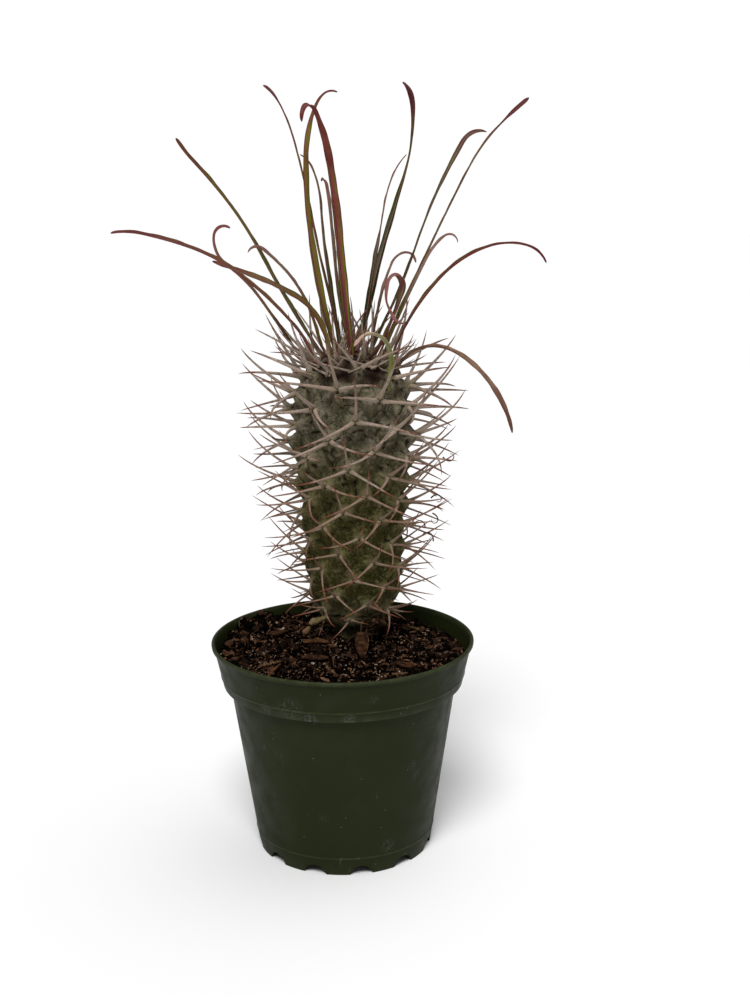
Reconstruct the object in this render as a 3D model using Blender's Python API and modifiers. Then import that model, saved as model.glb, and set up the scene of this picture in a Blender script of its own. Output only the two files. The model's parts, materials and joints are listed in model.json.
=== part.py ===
# Potted Madagascar palm: a plastic nursery pot filled with soil, a thick spiny stem
# with a crown of narrow leaves, and bits of bark and stick lying on the soil.
# Metres, +Z up. The origin is the centre of the pot's foot, and -Y is the front.

import math
import random

import bmesh
import bpy
import numpy as np
from mathutils import Matrix, Vector, noise
from mathutils.bvhtree import BVHTree

# Pot
POT_HEIGHT = 0.135
LIP_RADIUS = 0.0825
COLLAR_TOP_RADIUS = 0.0808
COLLAR_FOOT_RADIUS = 0.0755
COLLAR_FOOT_Z = 0.108
BODY_TOP_RADIUS = 0.0713
BODY_FOOT_RADIUS = 0.0554
WALL = 0.0014
LEDGE_Z = 0.1075
FLOOR_TOP_Z = 0.0085
FLOOR_UNDER_Z = 0.0069
FOOT_INNER_RADIUS = 0.0525
CENTRE_PAD_RADIUS = 0.012
RIDGE = 0.0004
LIP_DEPTH = 0.0030
LIP_FLARE = 0.0012
LIP_EDGE = 0.0006
LIP_DRAFT = 0.0002
COLLAR_RIDGE_Z = 0.114
FOOT_RIDGE_Z = 0.0116
POT_STEPS = 48
NOTCHES = 12
NOTCH_RADIUS = 0.0072
NOTCH_DROP = 0.0012
NOTCH_DEPTH = 0.010
FIRST_NOTCH_DEG = 250.0

# Clearance between pieces that touch
GAP = 0.0003

# Soil
SOIL_WALL_Z = 0.1245
SOIL_TILT = 0.0016
SOIL_MOUND = 0.0065
SOIL_MOUND_WIDTH = 0.034
SOIL_BUMP = 0.0011
SOIL_BUMP_SIZE = 0.017
STEM_HOLE_DEPTH = 0.060
SOIL_RINGS = (0.010, 0.020, 0.030, 0.040, 0.049, 0.058, 0.066, 0.072)

# Stem: its axis, then radius between the tubercles against height, then tubercle height
STEM_X = 0.008
STEM_Y = 0.022
STEM_PLUG_RADIUS = 0.0125
STEM_BOTTOM_Z = 0.100
STEM_PLUG_TOP_Z = 0.1330
STEM_COLUMNS = 40
STEM_PROFILE = (
    (0.0125, 0.1340),
    (0.0168, 0.1375),
    (0.0205, 0.1425),
    (0.0235, 0.1495),
    (0.0262, 0.1580),
    (0.0287, 0.1720),
    (0.0302, 0.2040),
    (0.0318, 0.2250),
    (0.0343, 0.2570),
    (0.0343, 0.2720),
    (0.0330, 0.2850),
    (0.0318, 0.2920),
    (0.0292, 0.2990),
    (0.0260, 0.3035),
    (0.0220, 0.3068),
    (0.0160, 0.3099),
    (0.0080, 0.3122),
)
CROWN_Z = 0.3130
CROWN_FROM_Z = 0.285
NORMAL_STEP = 0.0012
STEM_ROW_STEP = 0.0056
TUBERCLE_HEIGHT = (
    (0.1340, 0.0),
    (0.1500, 0.0030),
    (0.2040, 0.0040),
    (0.2250, 0.0050),
    (0.2570, 0.0068),
    (0.2760, 0.0064),
    (0.2900, 0.0050),
    (0.3035, 0.0030),
    (0.3099, 0.0008),
    (0.3130, 0.0),
)
TUBERCLE_REACH = 0.0115
TUBERCLE_TAIL = 1.45
TUBERCLE_EDGE = 1.15

# Areoles stand in one spiral: its turn from one to the next, and their heights by number.
# Those numbered below zero are on the crown, closing in on its middle.
SPIRAL_TURN_DEG = 99.65
SPIRAL_START_DEG = 78.5
AREOLE_HEIGHT = ((0, 0.3075), (30, 0.2588), (107, 0.1411))
FIRST_AREOLE = -11
LAST_AREOLE = 106
CROWN_SPIRAL_RADIUS = 0.021
CROWN_SPIRAL_START = 0.6

# Spines stand in threes: one up, and one to each side that droops a little.
# Length and root radius go by the areole's height; rises are degrees off the skin.
SPINE_TURNS_DEG = (0.0, 100.0, -100.0)
SPINE_RISES_DEG = (50.0, 32.0, 32.0)
SPINE_CROWN_RISE_DEG = 68.0
SPINE_LENGTH = (
    (0.140, 0.018),
    (0.170, 0.026),
    (0.204, 0.031),
    (0.257, 0.035),
    (0.295, 0.036),
    (0.313, 0.028),
)
SPINE_RADIUS = (
    (0.140, 0.0008),
    (0.204, 0.0009),
    (0.257, 0.0012),
    (0.295, 0.0015),
    (0.313, 0.0011),
)
SPINE_LENGTH_SPREAD = 0.12
SPINE_SPREAD_DEG = 11.0
SPINE_ROLL_DEG = 8.0
SPINE_SUNK = 0.0026
SPINE_APART = 0.0020
SPINE_BOW = 0.10
SPINE_WAIST = 0.80
SPINE_SIDES = 3
SPINE_SEED = 11

# A spine in the way of something is turned aside this much and tried again
SPINE_TRIES = 14
SPINE_DODGE = 0.35
SPINE_LEAST_SLOPE = 0.25
SPINE_OFF_RIM = 0.004
SPINE_OFF_SOIL = 0.001
SPINE_OFF_LEAF = 0.0006
SPINE_SAMPLES = 12

# Leaves. at: angle round the crown; out: distance from the stem's axis; compass: the
# direction that it leans to (0 is +X, 90 is +Y); leans: degrees from upright at the
# leaf's stations, so that it is a chain of arcs; twists: degrees turned about its own
# line there; veer: degrees off the compass there.
LEAF_STATIONS = (0.0, 0.2, 0.45, 0.7, 0.88, 1.0)
LEAVES = {
    "leaf_01": dict(at=200, out=0.023, compass=188, length=0.154, width=0.0046,
                    twists=(0, 5, 12, 20, 25, 30), leans=(17, 41, 50, 70, 77, 101)),
    "leaf_02": dict(at=163, out=0.026, compass=160, length=0.119, width=0.0040,
                    twists=(0, 8, 18, 28, 35, 40), leans=(53, 34, 38, 57, -9, -130)),
    "leaf_03": dict(at=230, out=0.022, compass=218, length=0.114, width=0.0052,
                    twists=(0, 10, 30, 45, 50, 50), leans=(-4, 25, 61, 69, 72, 70)),
    "leaf_04": dict(at=150, out=0.020, compass=148, length=0.175, width=0.0052,
                    twists=(0, 10, 22, 35, 44, 50), leans=(40, 36, 32, 44, 49, 39)),
    "leaf_05": dict(at=205, out=0.016, compass=205, length=0.092, width=0.0034,
                    twists=(0, 0, -15, -20, -25, -25), leans=(32, 14, 28, 45, 53, 153)),
    "leaf_06": dict(at=112, out=0.019, compass=118, length=0.205, width=0.0036,
                    twists=(0, 30, 58, 62, 40, 0), leans=(14, 27, 22, 30, 52, 77)),
    "leaf_07": dict(at=215, out=0.011, compass=232, length=0.178, width=0.0060,
                    twists=(0, 0, -15, -25, 0, 15), leans=(27, 18, 11, -4, -40, -105)),
    "leaf_08": dict(at=268, out=0.010, compass=240, length=0.171, width=0.0064,
                    twists=(0, -4, -9, -14, -18, -20), leans=(15, 10, 9, 18, 42, 193)),
    "leaf_09": dict(at=135, out=0.010, compass=122, length=0.134, width=0.0046,
                    twists=(0, 25, 40, 45, 50, 30), leans=(13, 16, 13, 6, 44, 81)),
    "leaf_10": dict(at=92, out=0.019, compass=105, length=0.134, width=0.0038,
                    twists=(0, 30, 50, 55, 40, 20), leans=(40, 39, 17, 18, 34, 122)),
    "leaf_11": dict(at=95, out=0.008, compass=60, length=0.199, width=0.0048,
                    twists=(0, 0, -10, -50, -10, 10), leans=(58, 25, 35, 31, -2, -84)),
    "leaf_12": dict(at=62, out=0.015, compass=50, length=0.133, width=0.0040,
                    twists=(0, 0, -20, -45, -50, -45), leans=(6, 14, 16, 16, 40, 62)),
    "leaf_13": dict(at=28, out=0.013, compass=22, length=0.162, width=0.0050,
                    twists=(0, -15, -15, 10, 50, 40), leans=(26, 28, 21, 29, 32, 108)),
    "leaf_14": dict(at=0, out=0.016, compass=348, length=0.179, width=0.0048,
                    twists=(0, -10, 10, 12, -30, -70), leans=(27, 25, 26, 28, 46, 51)),
    "leaf_15": dict(at=338, out=0.019, compass=345, length=0.097, width=0.0036,
                    twists=(0, 6, 14, 21, 26, 30), leans=(20, 23, 26, 28, 51, 180)),
    "leaf_16": dict(at=310, out=0.016, compass=330, length=0.104, width=0.0054,
                    veer=(0, 0, 75, 75, -20, -20), leans=(50, 22, 27, -169, -216, -295)),
    "leaf_17": dict(at=312, out=0.032, compass=205, length=0.056, width=0.0048,
                    leans=(-1, -12, 16, 72, 132, 142)),
    "leaf_18": dict(at=8, out=0.024, compass=352, length=0.137, width=0.0044,
                    twists=(0, -7, -16, -25, -31, -35), leans=(15, 30, 43, 71, 106, 158)),
    "leaf_19": dict(at=345, out=0.028, compass=325, length=0.112, width=0.0044,
                    twists=(0, 4, 9, 14, 18, 20), leans=(21, 68, 114, 137, 154, 167)),
    "leaf_20": dict(at=42, out=0.019, compass=35, length=0.085, width=0.0034,
                    twists=(0, -10, -20, -30, -30, -30), leans=(-16, 14, 17, 29, 99, 172)),
}
STRAIGHT = (0, 0, 0, 0, 0, 0)
LEAF_CUTS = 14
LEAF_THICKNESS = 0.0007
LEAF_MIDRIB = 0.0011
LEAF_FOLD = 0.24
LEAF_WIDTHS = ((0.0, 0.6), (0.25, 0.95), (0.5, 1.0), (0.8, 0.92), (0.93, 0.75), (1.0, 0.35))
LEAF_FINE_STEPS = 96
LEAF_SEAT_STEPS = 800
LEAF_CROWDING = 1.25

# Bits on the soil: place, length, breadth, thickness, heading and tilt in degrees
CHIPS = {
    "bark_01": dict(x=0.012, y=-0.0125, length=0.017, breadth=0.009, thickness=0.003, heading=-85, tilt=52),
    "bark_02": dict(x=-0.0175, y=-0.020, length=0.0175, breadth=0.006, thickness=0.003, heading=8, tilt=6),
    "bark_03": dict(x=0.039, y=-0.028, length=0.012, breadth=0.007, thickness=0.0026, heading=-25, tilt=5),
    "bark_04": dict(x=-0.042, y=0.030, length=0.015, breadth=0.008, thickness=0.0028, heading=50, tilt=4),
}
CHIP_WEAR = 0.2
STICKS = {
    "stick_01": dict(x=-0.0075, y=-0.037, length=0.015, radius=0.0008, heading=-68),
    "stick_02": dict(x=0.031, y=-0.042, length=0.016, radius=0.0009, heading=4),
    "stick_03": dict(x=-0.045, y=-0.025, length=0.015, radius=0.0010, heading=35),
    "stick_04": dict(x=0.044, y=0.042, length=0.018, radius=0.0009, heading=-40),
}
STICK_SIDES = 6
SEAT_SAMPLES = 5

# Colours: base colour, roughness
POT_LOOK = ((0.020, 0.028, 0.014), 0.55)
SOIL_LOOK = ((0.018, 0.010, 0.006), 0.95)
STEM_LOOK = ((0.110, 0.105, 0.070), 0.85)
LEAF_LOOK = ((0.095, 0.120, 0.020), 0.45)
DRY_LEAF_LOOK = ((0.200, 0.130, 0.075), 0.60)
BARK_LOOK = ((0.090, 0.040, 0.018), 0.90)
STICK_LOOK = ((0.260, 0.160, 0.080), 0.85)
DRY_LEAVES = ("leaf_19",)


def clear_scene():
    for item in list(bpy.data.objects):
        bpy.data.objects.remove(item)


def collection(name):
    group = bpy.data.collections.new(name)
    bpy.context.scene.collection.children.link(group)
    return group


def material(name, look):
    colour, roughness = look
    made = bpy.data.materials.new(name)
    made.use_nodes = True
    shader = made.node_tree.nodes["Principled BSDF"]
    shader.inputs["Base Color"].default_value = (*colour, 1.0)
    shader.inputs["Roughness"].default_value = roughness
    shader.inputs["Metallic"].default_value = 0.0
    return made


def new_object(name, mesh, group, look=None):
    made = bpy.data.objects.new(name, mesh)
    group.objects.link(made)
    if look:
        mesh.materials.clear()
        mesh.materials.append(material(name, look))
    return made


def mesh_from(name, points, faces):
    mesh = bpy.data.meshes.new(name)
    mesh.from_pydata([tuple(p) for p in points], [], [tuple(f) for f in faces])
    mesh.validate()
    return mesh


def evaluated_mesh(item):
    graph = bpy.context.evaluated_depsgraph_get()
    graph.update()
    return bpy.data.meshes.new_from_object(item.evaluated_get(graph))


def turned(name, profile, steps, group):
    """A closed turned body: the profile runs from the axis round the outside, back to the axis."""
    mesh = bpy.data.meshes.new(name)
    edges = [(i, i + 1) for i in range(len(profile) - 1)]
    mesh.from_pydata([(radius, 0.0, z) for radius, z in profile], edges, [])
    made = new_object(name, mesh, group)
    screw = made.modifiers.new("turn", "SCREW")
    screw.steps = steps
    screw.render_steps = steps
    screw.use_merge_vertices = True
    screw.merge_threshold = 0.00001
    solid = evaluated_mesh(made)
    bpy.data.objects.remove(made)
    return solid


def interpolate(x, table):
    xs, ys = zip(*sorted(table))
    return float(np.interp(x, xs, ys))


# Pot

def collar_radius(z):
    share = (z - COLLAR_FOOT_Z) / (POT_HEIGHT - LIP_DEPTH - COLLAR_FOOT_Z)
    return COLLAR_FOOT_RADIUS + (COLLAR_TOP_RADIUS - COLLAR_FOOT_RADIUS) * share


def body_radius(z):
    return BODY_FOOT_RADIUS + (BODY_TOP_RADIUS - BODY_FOOT_RADIUS) * z / LEDGE_Z


def inner_radius(z):
    """Radius of the pot's inner wall: the body below the ledge, the collar above it."""
    body_top = LEDGE_Z - WALL / 2
    collar_bottom = LEDGE_Z + WALL
    if z >= collar_bottom:
        return collar_radius(z) - WALL
    if z <= body_top:
        return body_radius(z) - WALL
    share = (z - body_top) / (collar_bottom - body_top)
    low = body_radius(body_top) - WALL
    high = collar_radius(collar_bottom) - WALL
    return low + (high - low) * share


def ridge(z, radius_at):
    """Three points of a fine raised line round the outside, top to bottom."""
    return [
        (radius_at(z + 2 * RIDGE), z + 2 * RIDGE),
        (radius_at(z) + RIDGE, z),
        (radius_at(z - 2 * RIDGE), z - 2 * RIDGE),
    ]


def make_pot(group, cutters):
    lip_under_z = POT_HEIGHT - LIP_DEPTH
    inside = [
        (0.0, FLOOR_TOP_Z),
        (inner_radius(FLOOR_TOP_Z), FLOOR_TOP_Z),
        (inner_radius(LEDGE_Z - WALL / 2), LEDGE_Z - WALL / 2),
        (inner_radius(LEDGE_Z + WALL), LEDGE_Z + WALL),
        (inner_radius(lip_under_z), lip_under_z),
    ]
    lip = [
        (inner_radius(lip_under_z) + LIP_FLARE, POT_HEIGHT),
        (LIP_RADIUS - LIP_EDGE, POT_HEIGHT),
        (LIP_RADIUS, POT_HEIGHT - LIP_EDGE),
        (LIP_RADIUS - LIP_DRAFT, lip_under_z + LIP_EDGE),
        (COLLAR_TOP_RADIUS, lip_under_z),
    ]
    collar = ridge(COLLAR_RIDGE_Z, collar_radius) + [
        (COLLAR_FOOT_RADIUS, COLLAR_FOOT_Z),
        (BODY_TOP_RADIUS, LEDGE_Z),
    ]
    foot = ridge(FOOT_RIDGE_Z, body_radius) + [
        (BODY_FOOT_RADIUS, 0.0),
        (FOOT_INNER_RADIUS, 0.0),
        (FOOT_INNER_RADIUS, FLOOR_UNDER_Z),
        (CENTRE_PAD_RADIUS, FLOOR_UNDER_Z),
        (CENTRE_PAD_RADIUS, 0.0),
        (0.0, 0.0),
    ]
    mesh = turned("pot", inside + lip + collar + foot, POT_STEPS, group)
    pot = new_object("pot", mesh, group, POT_LOOK)
    for number in range(NOTCHES):
        angle = math.radians(FIRST_NOTCH_DEG + 360.0 / NOTCHES * number)
        bpy.ops.mesh.primitive_cylinder_add(vertices=16, radius=NOTCH_RADIUS, depth=NOTCH_DEPTH)
        notch = bpy.context.object
        notch.name = f"notch_{number:02d}"
        notch.location = (
            BODY_FOOT_RADIUS * math.cos(angle),
            BODY_FOOT_RADIUS * math.sin(angle),
            -NOTCH_DROP,
        )
        notch.rotation_euler = (0.0, math.pi / 2, angle)
        move_to(notch, cutters)
        hide(notch)
    cut = pot.modifiers.new("notches", "BOOLEAN")
    cut.operand_type = "COLLECTION"
    cut.collection = cutters
    cut.operation = "DIFFERENCE"
    cut.solver = "EXACT"
    pot.data.shade_smooth()
    pot.data.set_sharp_from_angle(angle=math.radians(25))
    return pot


def move_to(item, group):
    for other in item.users_collection:
        other.objects.unlink(item)
    group.objects.link(item)


def hide(item):
    item.hide_render = True
    item.display_type = "WIRE"


# Soil

def soil_height(x, y):
    """Height of the soil: a low mound round the stem, lower on the right, with small bumps."""
    from_stem = math.hypot(x - STEM_X, y - STEM_Y)
    from_axis = math.hypot(x, y)
    wall_share = min(1.0, from_axis / SOIL_RINGS[-1])
    mound = SOIL_MOUND * math.exp(-((from_stem / SOIL_MOUND_WIDTH) ** 2))
    tilt = -SOIL_TILT * x / LIP_RADIUS
    place = Vector((x, y, 0.0)) / SOIL_BUMP_SIZE
    bump = SOIL_BUMP * noise.noise(place) * (1.0 - wall_share**3)
    return SOIL_WALL_Z + mound + tilt + bump


def make_soil(group, cutters):
    wall_radius = inner_radius(SOIL_WALL_Z) - GAP
    rings = [(radius, SOIL_WALL_Z) for radius in (0.0, *SOIL_RINGS, wall_radius)]
    ledge = [
        (inner_radius(LEDGE_Z + WALL) - GAP, LEDGE_Z + WALL + GAP),
        (inner_radius(LEDGE_Z - WALL / 2) - GAP, LEDGE_Z - WALL / 2 + GAP),
    ]
    floor = [
        (inner_radius(FLOOR_TOP_Z) - GAP, FLOOR_TOP_Z + GAP),
        (0.0, FLOOR_TOP_Z + GAP),
    ]
    mesh = turned("soil", rings + ledge + floor, POT_STEPS, group)
    for vertex in mesh.vertices:
        x, y, z = vertex.co
        if z < SOIL_WALL_Z - GAP:
            continue
        radius = math.hypot(x, y)
        height = soil_height(x, y)
        if radius > wall_radius - GAP:
            scale = (inner_radius(height) - GAP) / radius
            vertex.co = (x * scale, y * scale, height)
        else:
            vertex.co = (x, y, height)
    soil = new_object("soil", mesh, group, SOIL_LOOK)
    bpy.ops.mesh.primitive_cylinder_add(
        vertices=STEM_COLUMNS,
        radius=STEM_PLUG_RADIUS + GAP,
        depth=STEM_HOLE_DEPTH,
    )
    hole = bpy.context.object
    hole.name = "stem_hole"
    hole.location = (STEM_X, STEM_Y, STEM_BOTTOM_Z - GAP + STEM_HOLE_DEPTH / 2)
    move_to(hole, cutters)
    hide(hole)
    cut = soil.modifiers.new("stem_hole", "BOOLEAN")
    cut.object = hole
    cut.operation = "DIFFERENCE"
    cut.solver = "EXACT"
    return soil


# Stem

def profile_radius(z):
    return interpolate(z, [(height, radius) for radius, height in STEM_PROFILE] + [(CROWN_Z, 0.0)])


def crown_height(radius):
    """Height of the crown's surface between tubercles, at a distance from the axis."""
    crown = [(r, z) for r, z in STEM_PROFILE if z > CROWN_FROM_Z]
    return interpolate(radius, crown + [(0.0, CROWN_Z)])


def profile_normal(z):
    """Outward direction of the profile at a height, as (out, up)."""
    if z > CROWN_Z - 2 * NORMAL_STEP:
        return (0.0, 1.0)
    across = profile_radius(z + NORMAL_STEP) - profile_radius(z - NORMAL_STEP)
    length = math.hypot(across, 2 * NORMAL_STEP)
    return (2 * NORMAL_STEP / length, -across / length)


def areoles():
    """Each areole's angle in radians and its height, from the crown down."""
    found = []
    for number in range(FIRST_AREOLE, LAST_AREOLE + 1):
        angle = math.radians(SPIRAL_START_DEG + SPIRAL_TURN_DEG * number)
        if number < 0:
            share = (number - FIRST_AREOLE + CROWN_SPIRAL_START) / -FIRST_AREOLE
            z = crown_height(CROWN_SPIRAL_RADIUS * math.sqrt(share))
        else:
            z = interpolate(number, AREOLE_HEIGHT)
        found.append((angle % math.tau, z))
    return found


def tubercle_rise(angle, z, places):
    """How far the surface stands out here: the highest of the tubercles round it."""
    radius = profile_radius(z)
    best = 0.0
    for other_angle, other_z in places:
        drop = z - other_z
        if abs(drop) > TUBERCLE_REACH * TUBERCLE_TAIL:
            continue
        turn = (angle - other_angle + math.pi) % math.tau - math.pi
        across = turn * (radius + profile_radius(other_z)) / 2
        along = drop if drop > 0 else drop / TUBERCLE_TAIL
        away = math.hypot(across, along) / TUBERCLE_REACH
        if away < 1.0:
            best = max(best, interpolate(other_z, TUBERCLE_HEIGHT) * (1.0 - away) ** TUBERCLE_EDGE)
    return best


def stem_point(angle, z, rise):
    radius = profile_radius(z)
    out, up = profile_normal(z)
    radius += out * rise
    return Vector((STEM_X + radius * math.cos(angle), STEM_Y + radius * math.sin(angle), z + up * rise))


def stem_rows():
    """Heights of the stem's rows of points, evenly spaced along its profile."""
    lengths = [0.0]
    for (r0, z0), (r1, z1) in zip(STEM_PROFILE, STEM_PROFILE[1:]):
        lengths.append(lengths[-1] + math.hypot(r1 - r0, z1 - z0))
    heights = [z for _, z in STEM_PROFILE]
    count = round(lengths[-1] / STEM_ROW_STEP)
    return [float(np.interp(lengths[-1] * i / count, lengths, heights)) for i in range(count + 1)]


def stem_body(places):
    rows = stem_rows()
    points = []
    for z in (STEM_BOTTOM_Z, STEM_PLUG_TOP_Z):
        for angle_step in range(STEM_COLUMNS):
            angle = math.tau * angle_step / STEM_COLUMNS
            points.append(plug_point(angle, z))
    for z in rows:
        for angle_step in range(STEM_COLUMNS):
            angle = math.tau * angle_step / STEM_COLUMNS
            points.append(stem_point(angle, z, tubercle_rise(angle, z, places)))
    faces = []
    for row in range(len(rows) + 1):
        for i in range(STEM_COLUMNS):
            j = (i + 1) % STEM_COLUMNS
            low = row * STEM_COLUMNS
            high = low + STEM_COLUMNS
            faces.append((low + i, low + j, high + j))
            faces.append((low + i, high + j, high + i))
    bottom = len(points)
    points.append(Vector((STEM_X, STEM_Y, STEM_BOTTOM_Z)))
    top = len(points)
    points.append(Vector((STEM_X, STEM_Y, CROWN_Z)))
    last = (len(rows) + 1) * STEM_COLUMNS
    for i in range(STEM_COLUMNS):
        j = (i + 1) % STEM_COLUMNS
        faces.append((bottom, j, i))
        faces.append((top, last + i, last + j))
    return mesh_from("stem", points, faces)


def plug_point(angle, z):
    """A point of the plain round foot that stands in the soil."""
    around = Vector((math.cos(angle), math.sin(angle), 0.0))
    return Vector((STEM_X, STEM_Y, z)) + around * STEM_PLUG_RADIUS


def spine_path(root, direction, out, length):
    """Root, middle and tip of a spine that bows a little towards the outward direction."""
    start = root - out * SPINE_SUNK
    tip = root + direction * length
    middle = (start + tip) / 2 + out * SPINE_BOW * length
    return start, middle, tip


def spine_mesh(path, radius):
    start, middle, tip = path
    turn = (middle - start).normalized().to_track_quat("Z", "Y")
    points = []
    for centre, size in ((start, radius), (middle, radius * SPINE_WAIST)):
        for corner in range(SPINE_SIDES):
            angle = math.tau * corner / SPINE_SIDES
            points.append(centre + turn @ Vector((size * math.cos(angle), size * math.sin(angle), 0.0)))
    points.append(tip)
    n = SPINE_SIDES
    faces = [tuple(reversed(range(n)))]
    for i in range(n):
        j = (i + 1) % n
        faces.append((i, j, n + j, n + i))
        faces.append((n + i, n + j, 2 * n))
    return mesh_from("spine", points, faces)


def spine_is_clear(path, radius, obstacles):
    """True where a spine keeps off the soil, the pot, every leaf and every bit of bark."""
    start, middle, tip = path
    samples = []
    for i in range(1, SPINE_SAMPLES + 1):
        t = i / SPINE_SAMPLES
        samples.append(start * (1 - t) ** 2 + middle * (2 * t * (1 - t)) + tip * t**2)
        samples.append(start.lerp(middle, t))
        samples.append(middle.lerp(tip, t))
    rim = inner_radius(POT_HEIGHT - LIP_DEPTH)
    for point in samples:
        from_axis = math.hypot(point.x, point.y)
        if from_axis > rim - SPINE_OFF_RIM and point.z < POT_HEIGHT + SPINE_OFF_RIM:
            return False
        if from_axis < rim and point.z < soil_height(point.x, point.y) + radius + SPINE_OFF_SOIL:
            return False
    cloud = np.array(samples)
    for line, half_width in obstacles:
        apart = np.linalg.norm(cloud[:, None] - line[None], axis=2).min()
        if apart < half_width + radius + SPINE_OFF_LEAF:
            return False
    return True


def spine_directions(angle, z, draw):
    """Outward direction, and for each spine its place round the areole and where it points."""
    out_part, up_part = profile_normal(z)
    around = Vector((math.cos(angle), math.sin(angle), 0.0))
    side = Vector((-math.sin(angle), math.cos(angle), 0.0))
    out = around * out_part + Vector((0.0, 0.0, up_part))
    up = Vector((0.0, 0.0, out_part)) - around * up_part
    roll = math.radians(draw.gauss(0.0, SPINE_ROLL_DEG))
    found = []
    for turn, rise in zip(SPINE_TURNS_DEG, SPINE_RISES_DEG):
        rise += (SPINE_CROWN_RISE_DEG - rise) * up_part**2
        rise = math.radians(rise + draw.uniform(-SPINE_SPREAD_DEG, SPINE_SPREAD_DEG))
        turn = math.radians(turn + draw.uniform(-SPINE_SPREAD_DEG, SPINE_SPREAD_DEG)) + roll
        flat = up * math.cos(turn) + side * math.sin(turn)
        found.append((flat, flat * math.cos(rise) + out * math.sin(rise)))
    return out, found


def all_spines(places, obstacles):
    """Path and root radius of every spine. One in the way of something turns aside, or is left out."""
    draw = random.Random(SPINE_SEED)
    spines = []
    for angle, z in places:
        areole = stem_point(angle, z, tubercle_rise(angle, z, places))
        out, directions = spine_directions(angle, z, draw)
        radius = interpolate(z, SPINE_RADIUS)
        for flat, direction in directions:
            root = areole + flat * SPINE_APART
            spread = draw.uniform(-SPINE_LENGTH_SPREAD, SPINE_LENGTH_SPREAD)
            length = interpolate(z, SPINE_LENGTH) * (1.0 + spread)
            for _ in range(SPINE_TRIES):
                path = spine_path(root, direction, out, length)
                if spine_is_clear(path, radius, obstacles):
                    spines.append((path, radius))
                    break
                aside = Vector((draw.uniform(-1.0, 1.0), draw.uniform(-1.0, 1.0), draw.uniform(-0.5, 1.0)))
                direction = (direction + aside * SPINE_DODGE).normalized()
                if direction.dot(out) < SPINE_LEAST_SLOPE:
                    direction = (direction + out * 2 * SPINE_LEAST_SLOPE).normalized()
    return spines


def surface_of(mesh):
    return BVHTree.FromPolygons(
        [vertex.co for vertex in mesh.vertices],
        [face.vertices[:] for face in mesh.polygons],
    )


def make_stem(body, places, obstacles, group):
    stem = new_object("stem", body, group, STEM_LOOK)
    spine_group = collection("spines")
    for path, radius in all_spines(places, obstacles):
        new_object("spine", spine_mesh(path, radius), spine_group)
    join = stem.modifiers.new("spines", "BOOLEAN")
    join.operand_type = "COLLECTION"
    join.collection = spine_group
    join.operation = "UNION"
    join.solver = "EXACT"
    joined = evaluated_mesh(stem)
    stem.modifiers.clear()
    stem.data = joined
    for item in list(spine_group.objects):
        bpy.data.objects.remove(item)
    bpy.data.collections.remove(spine_group)
    return stem


# Leaves

def leaf_line(leaf, count, start=0.0):
    """Sections of a leaf from a share of its length to its tip: share, centre, direction, side."""
    at = math.radians(leaf["at"])
    veer = leaf.get("veer", STRAIGHT)
    twists = leaf.get("twists", STRAIGHT)
    base = Vector((
        STEM_X + leaf["out"] * math.cos(at),
        STEM_Y + leaf["out"] * math.sin(at),
        crown_height(leaf["out"]),
    ))
    points = [base]
    frames = []
    for i in range(LEAF_FINE_STEPS + 1):
        share = i / LEAF_FINE_STEPS
        lean = math.radians(float(np.interp(share, LEAF_STATIONS, leaf["leans"])))
        compass = math.radians(leaf["compass"] + float(np.interp(share, LEAF_STATIONS, veer)))
        ahead = Vector((math.cos(compass), math.sin(compass), 0.0))
        along = ahead * math.sin(lean) + Vector((0.0, 0.0, math.cos(lean)))
        side = Vector((-math.sin(compass), math.cos(compass), 0.0))
        frames.append((along, side))
    for (before, _), (after, _) in zip(frames, frames[1:]):
        points.append(points[-1] + (before + after) / 2 * (leaf["length"] / LEAF_FINE_STEPS))
    picked = []
    for i in range(count + 1):
        share = start + (1.0 - start) * leaf_share(i / count)
        place = share * LEAF_FINE_STEPS
        low = min(int(place), LEAF_FINE_STEPS - 1)
        point = points[low].lerp(points[low + 1], place - low)
        along = frames[low][0].lerp(frames[low + 1][0], place - low).normalized()
        side = frames[low][1].lerp(frames[low + 1][1], place - low)
        side = (side - along * side.dot(along)).normalized()
        twist = math.radians(float(np.interp(share, LEAF_STATIONS, twists)))
        picked.append((share, point, along, Matrix.Rotation(twist, 3, along) @ side))
    return picked


def leaf_share(t):
    """Sections stand closer together towards the tip, where a leaf bends most."""
    return 1.0 - (1.0 - t) ** LEAF_CROWDING


def leaf_width(leaf, share):
    return leaf["width"] * interpolate(share, LEAF_WIDTHS)


def leaf_section(point, along, side, width):
    """Six points of the folded blade's section: upper left, rib, right, then lower right, rib, left."""
    upper = along.cross(side).normalized()
    half = width / 2
    fold = width * LEAF_FOLD
    return [
        point - side * half + upper * fold,
        point,
        point + side * half + upper * fold,
        point + side * half + upper * (fold - LEAF_THICKNESS),
        point - upper * LEAF_MIDRIB,
        point - side * half + upper * (fold - LEAF_THICKNESS),
    ]


def is_above(corner, skin):
    """True where a point stands a gap above the stem's skin."""
    over = Vector((corner.x, corner.y, CROWN_Z + SPINE_LENGTH[-1][1]))
    hit, _, _, _ = skin.ray_cast(over, Vector((0.0, 0.0, -1.0)))
    return hit is None or corner.z > hit.z + GAP


def leaf_start(leaf, skin):
    """The share of its length at which a leaf comes clear of the crown, where its foot is."""
    for share, point, along, side in leaf_line(leaf, LEAF_SEAT_STEPS):
        foot = leaf_section(point, along, side, leaf_width(leaf, share))
        if all(is_above(corner, skin) for corner in foot):
            return share
    return 0.0


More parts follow.
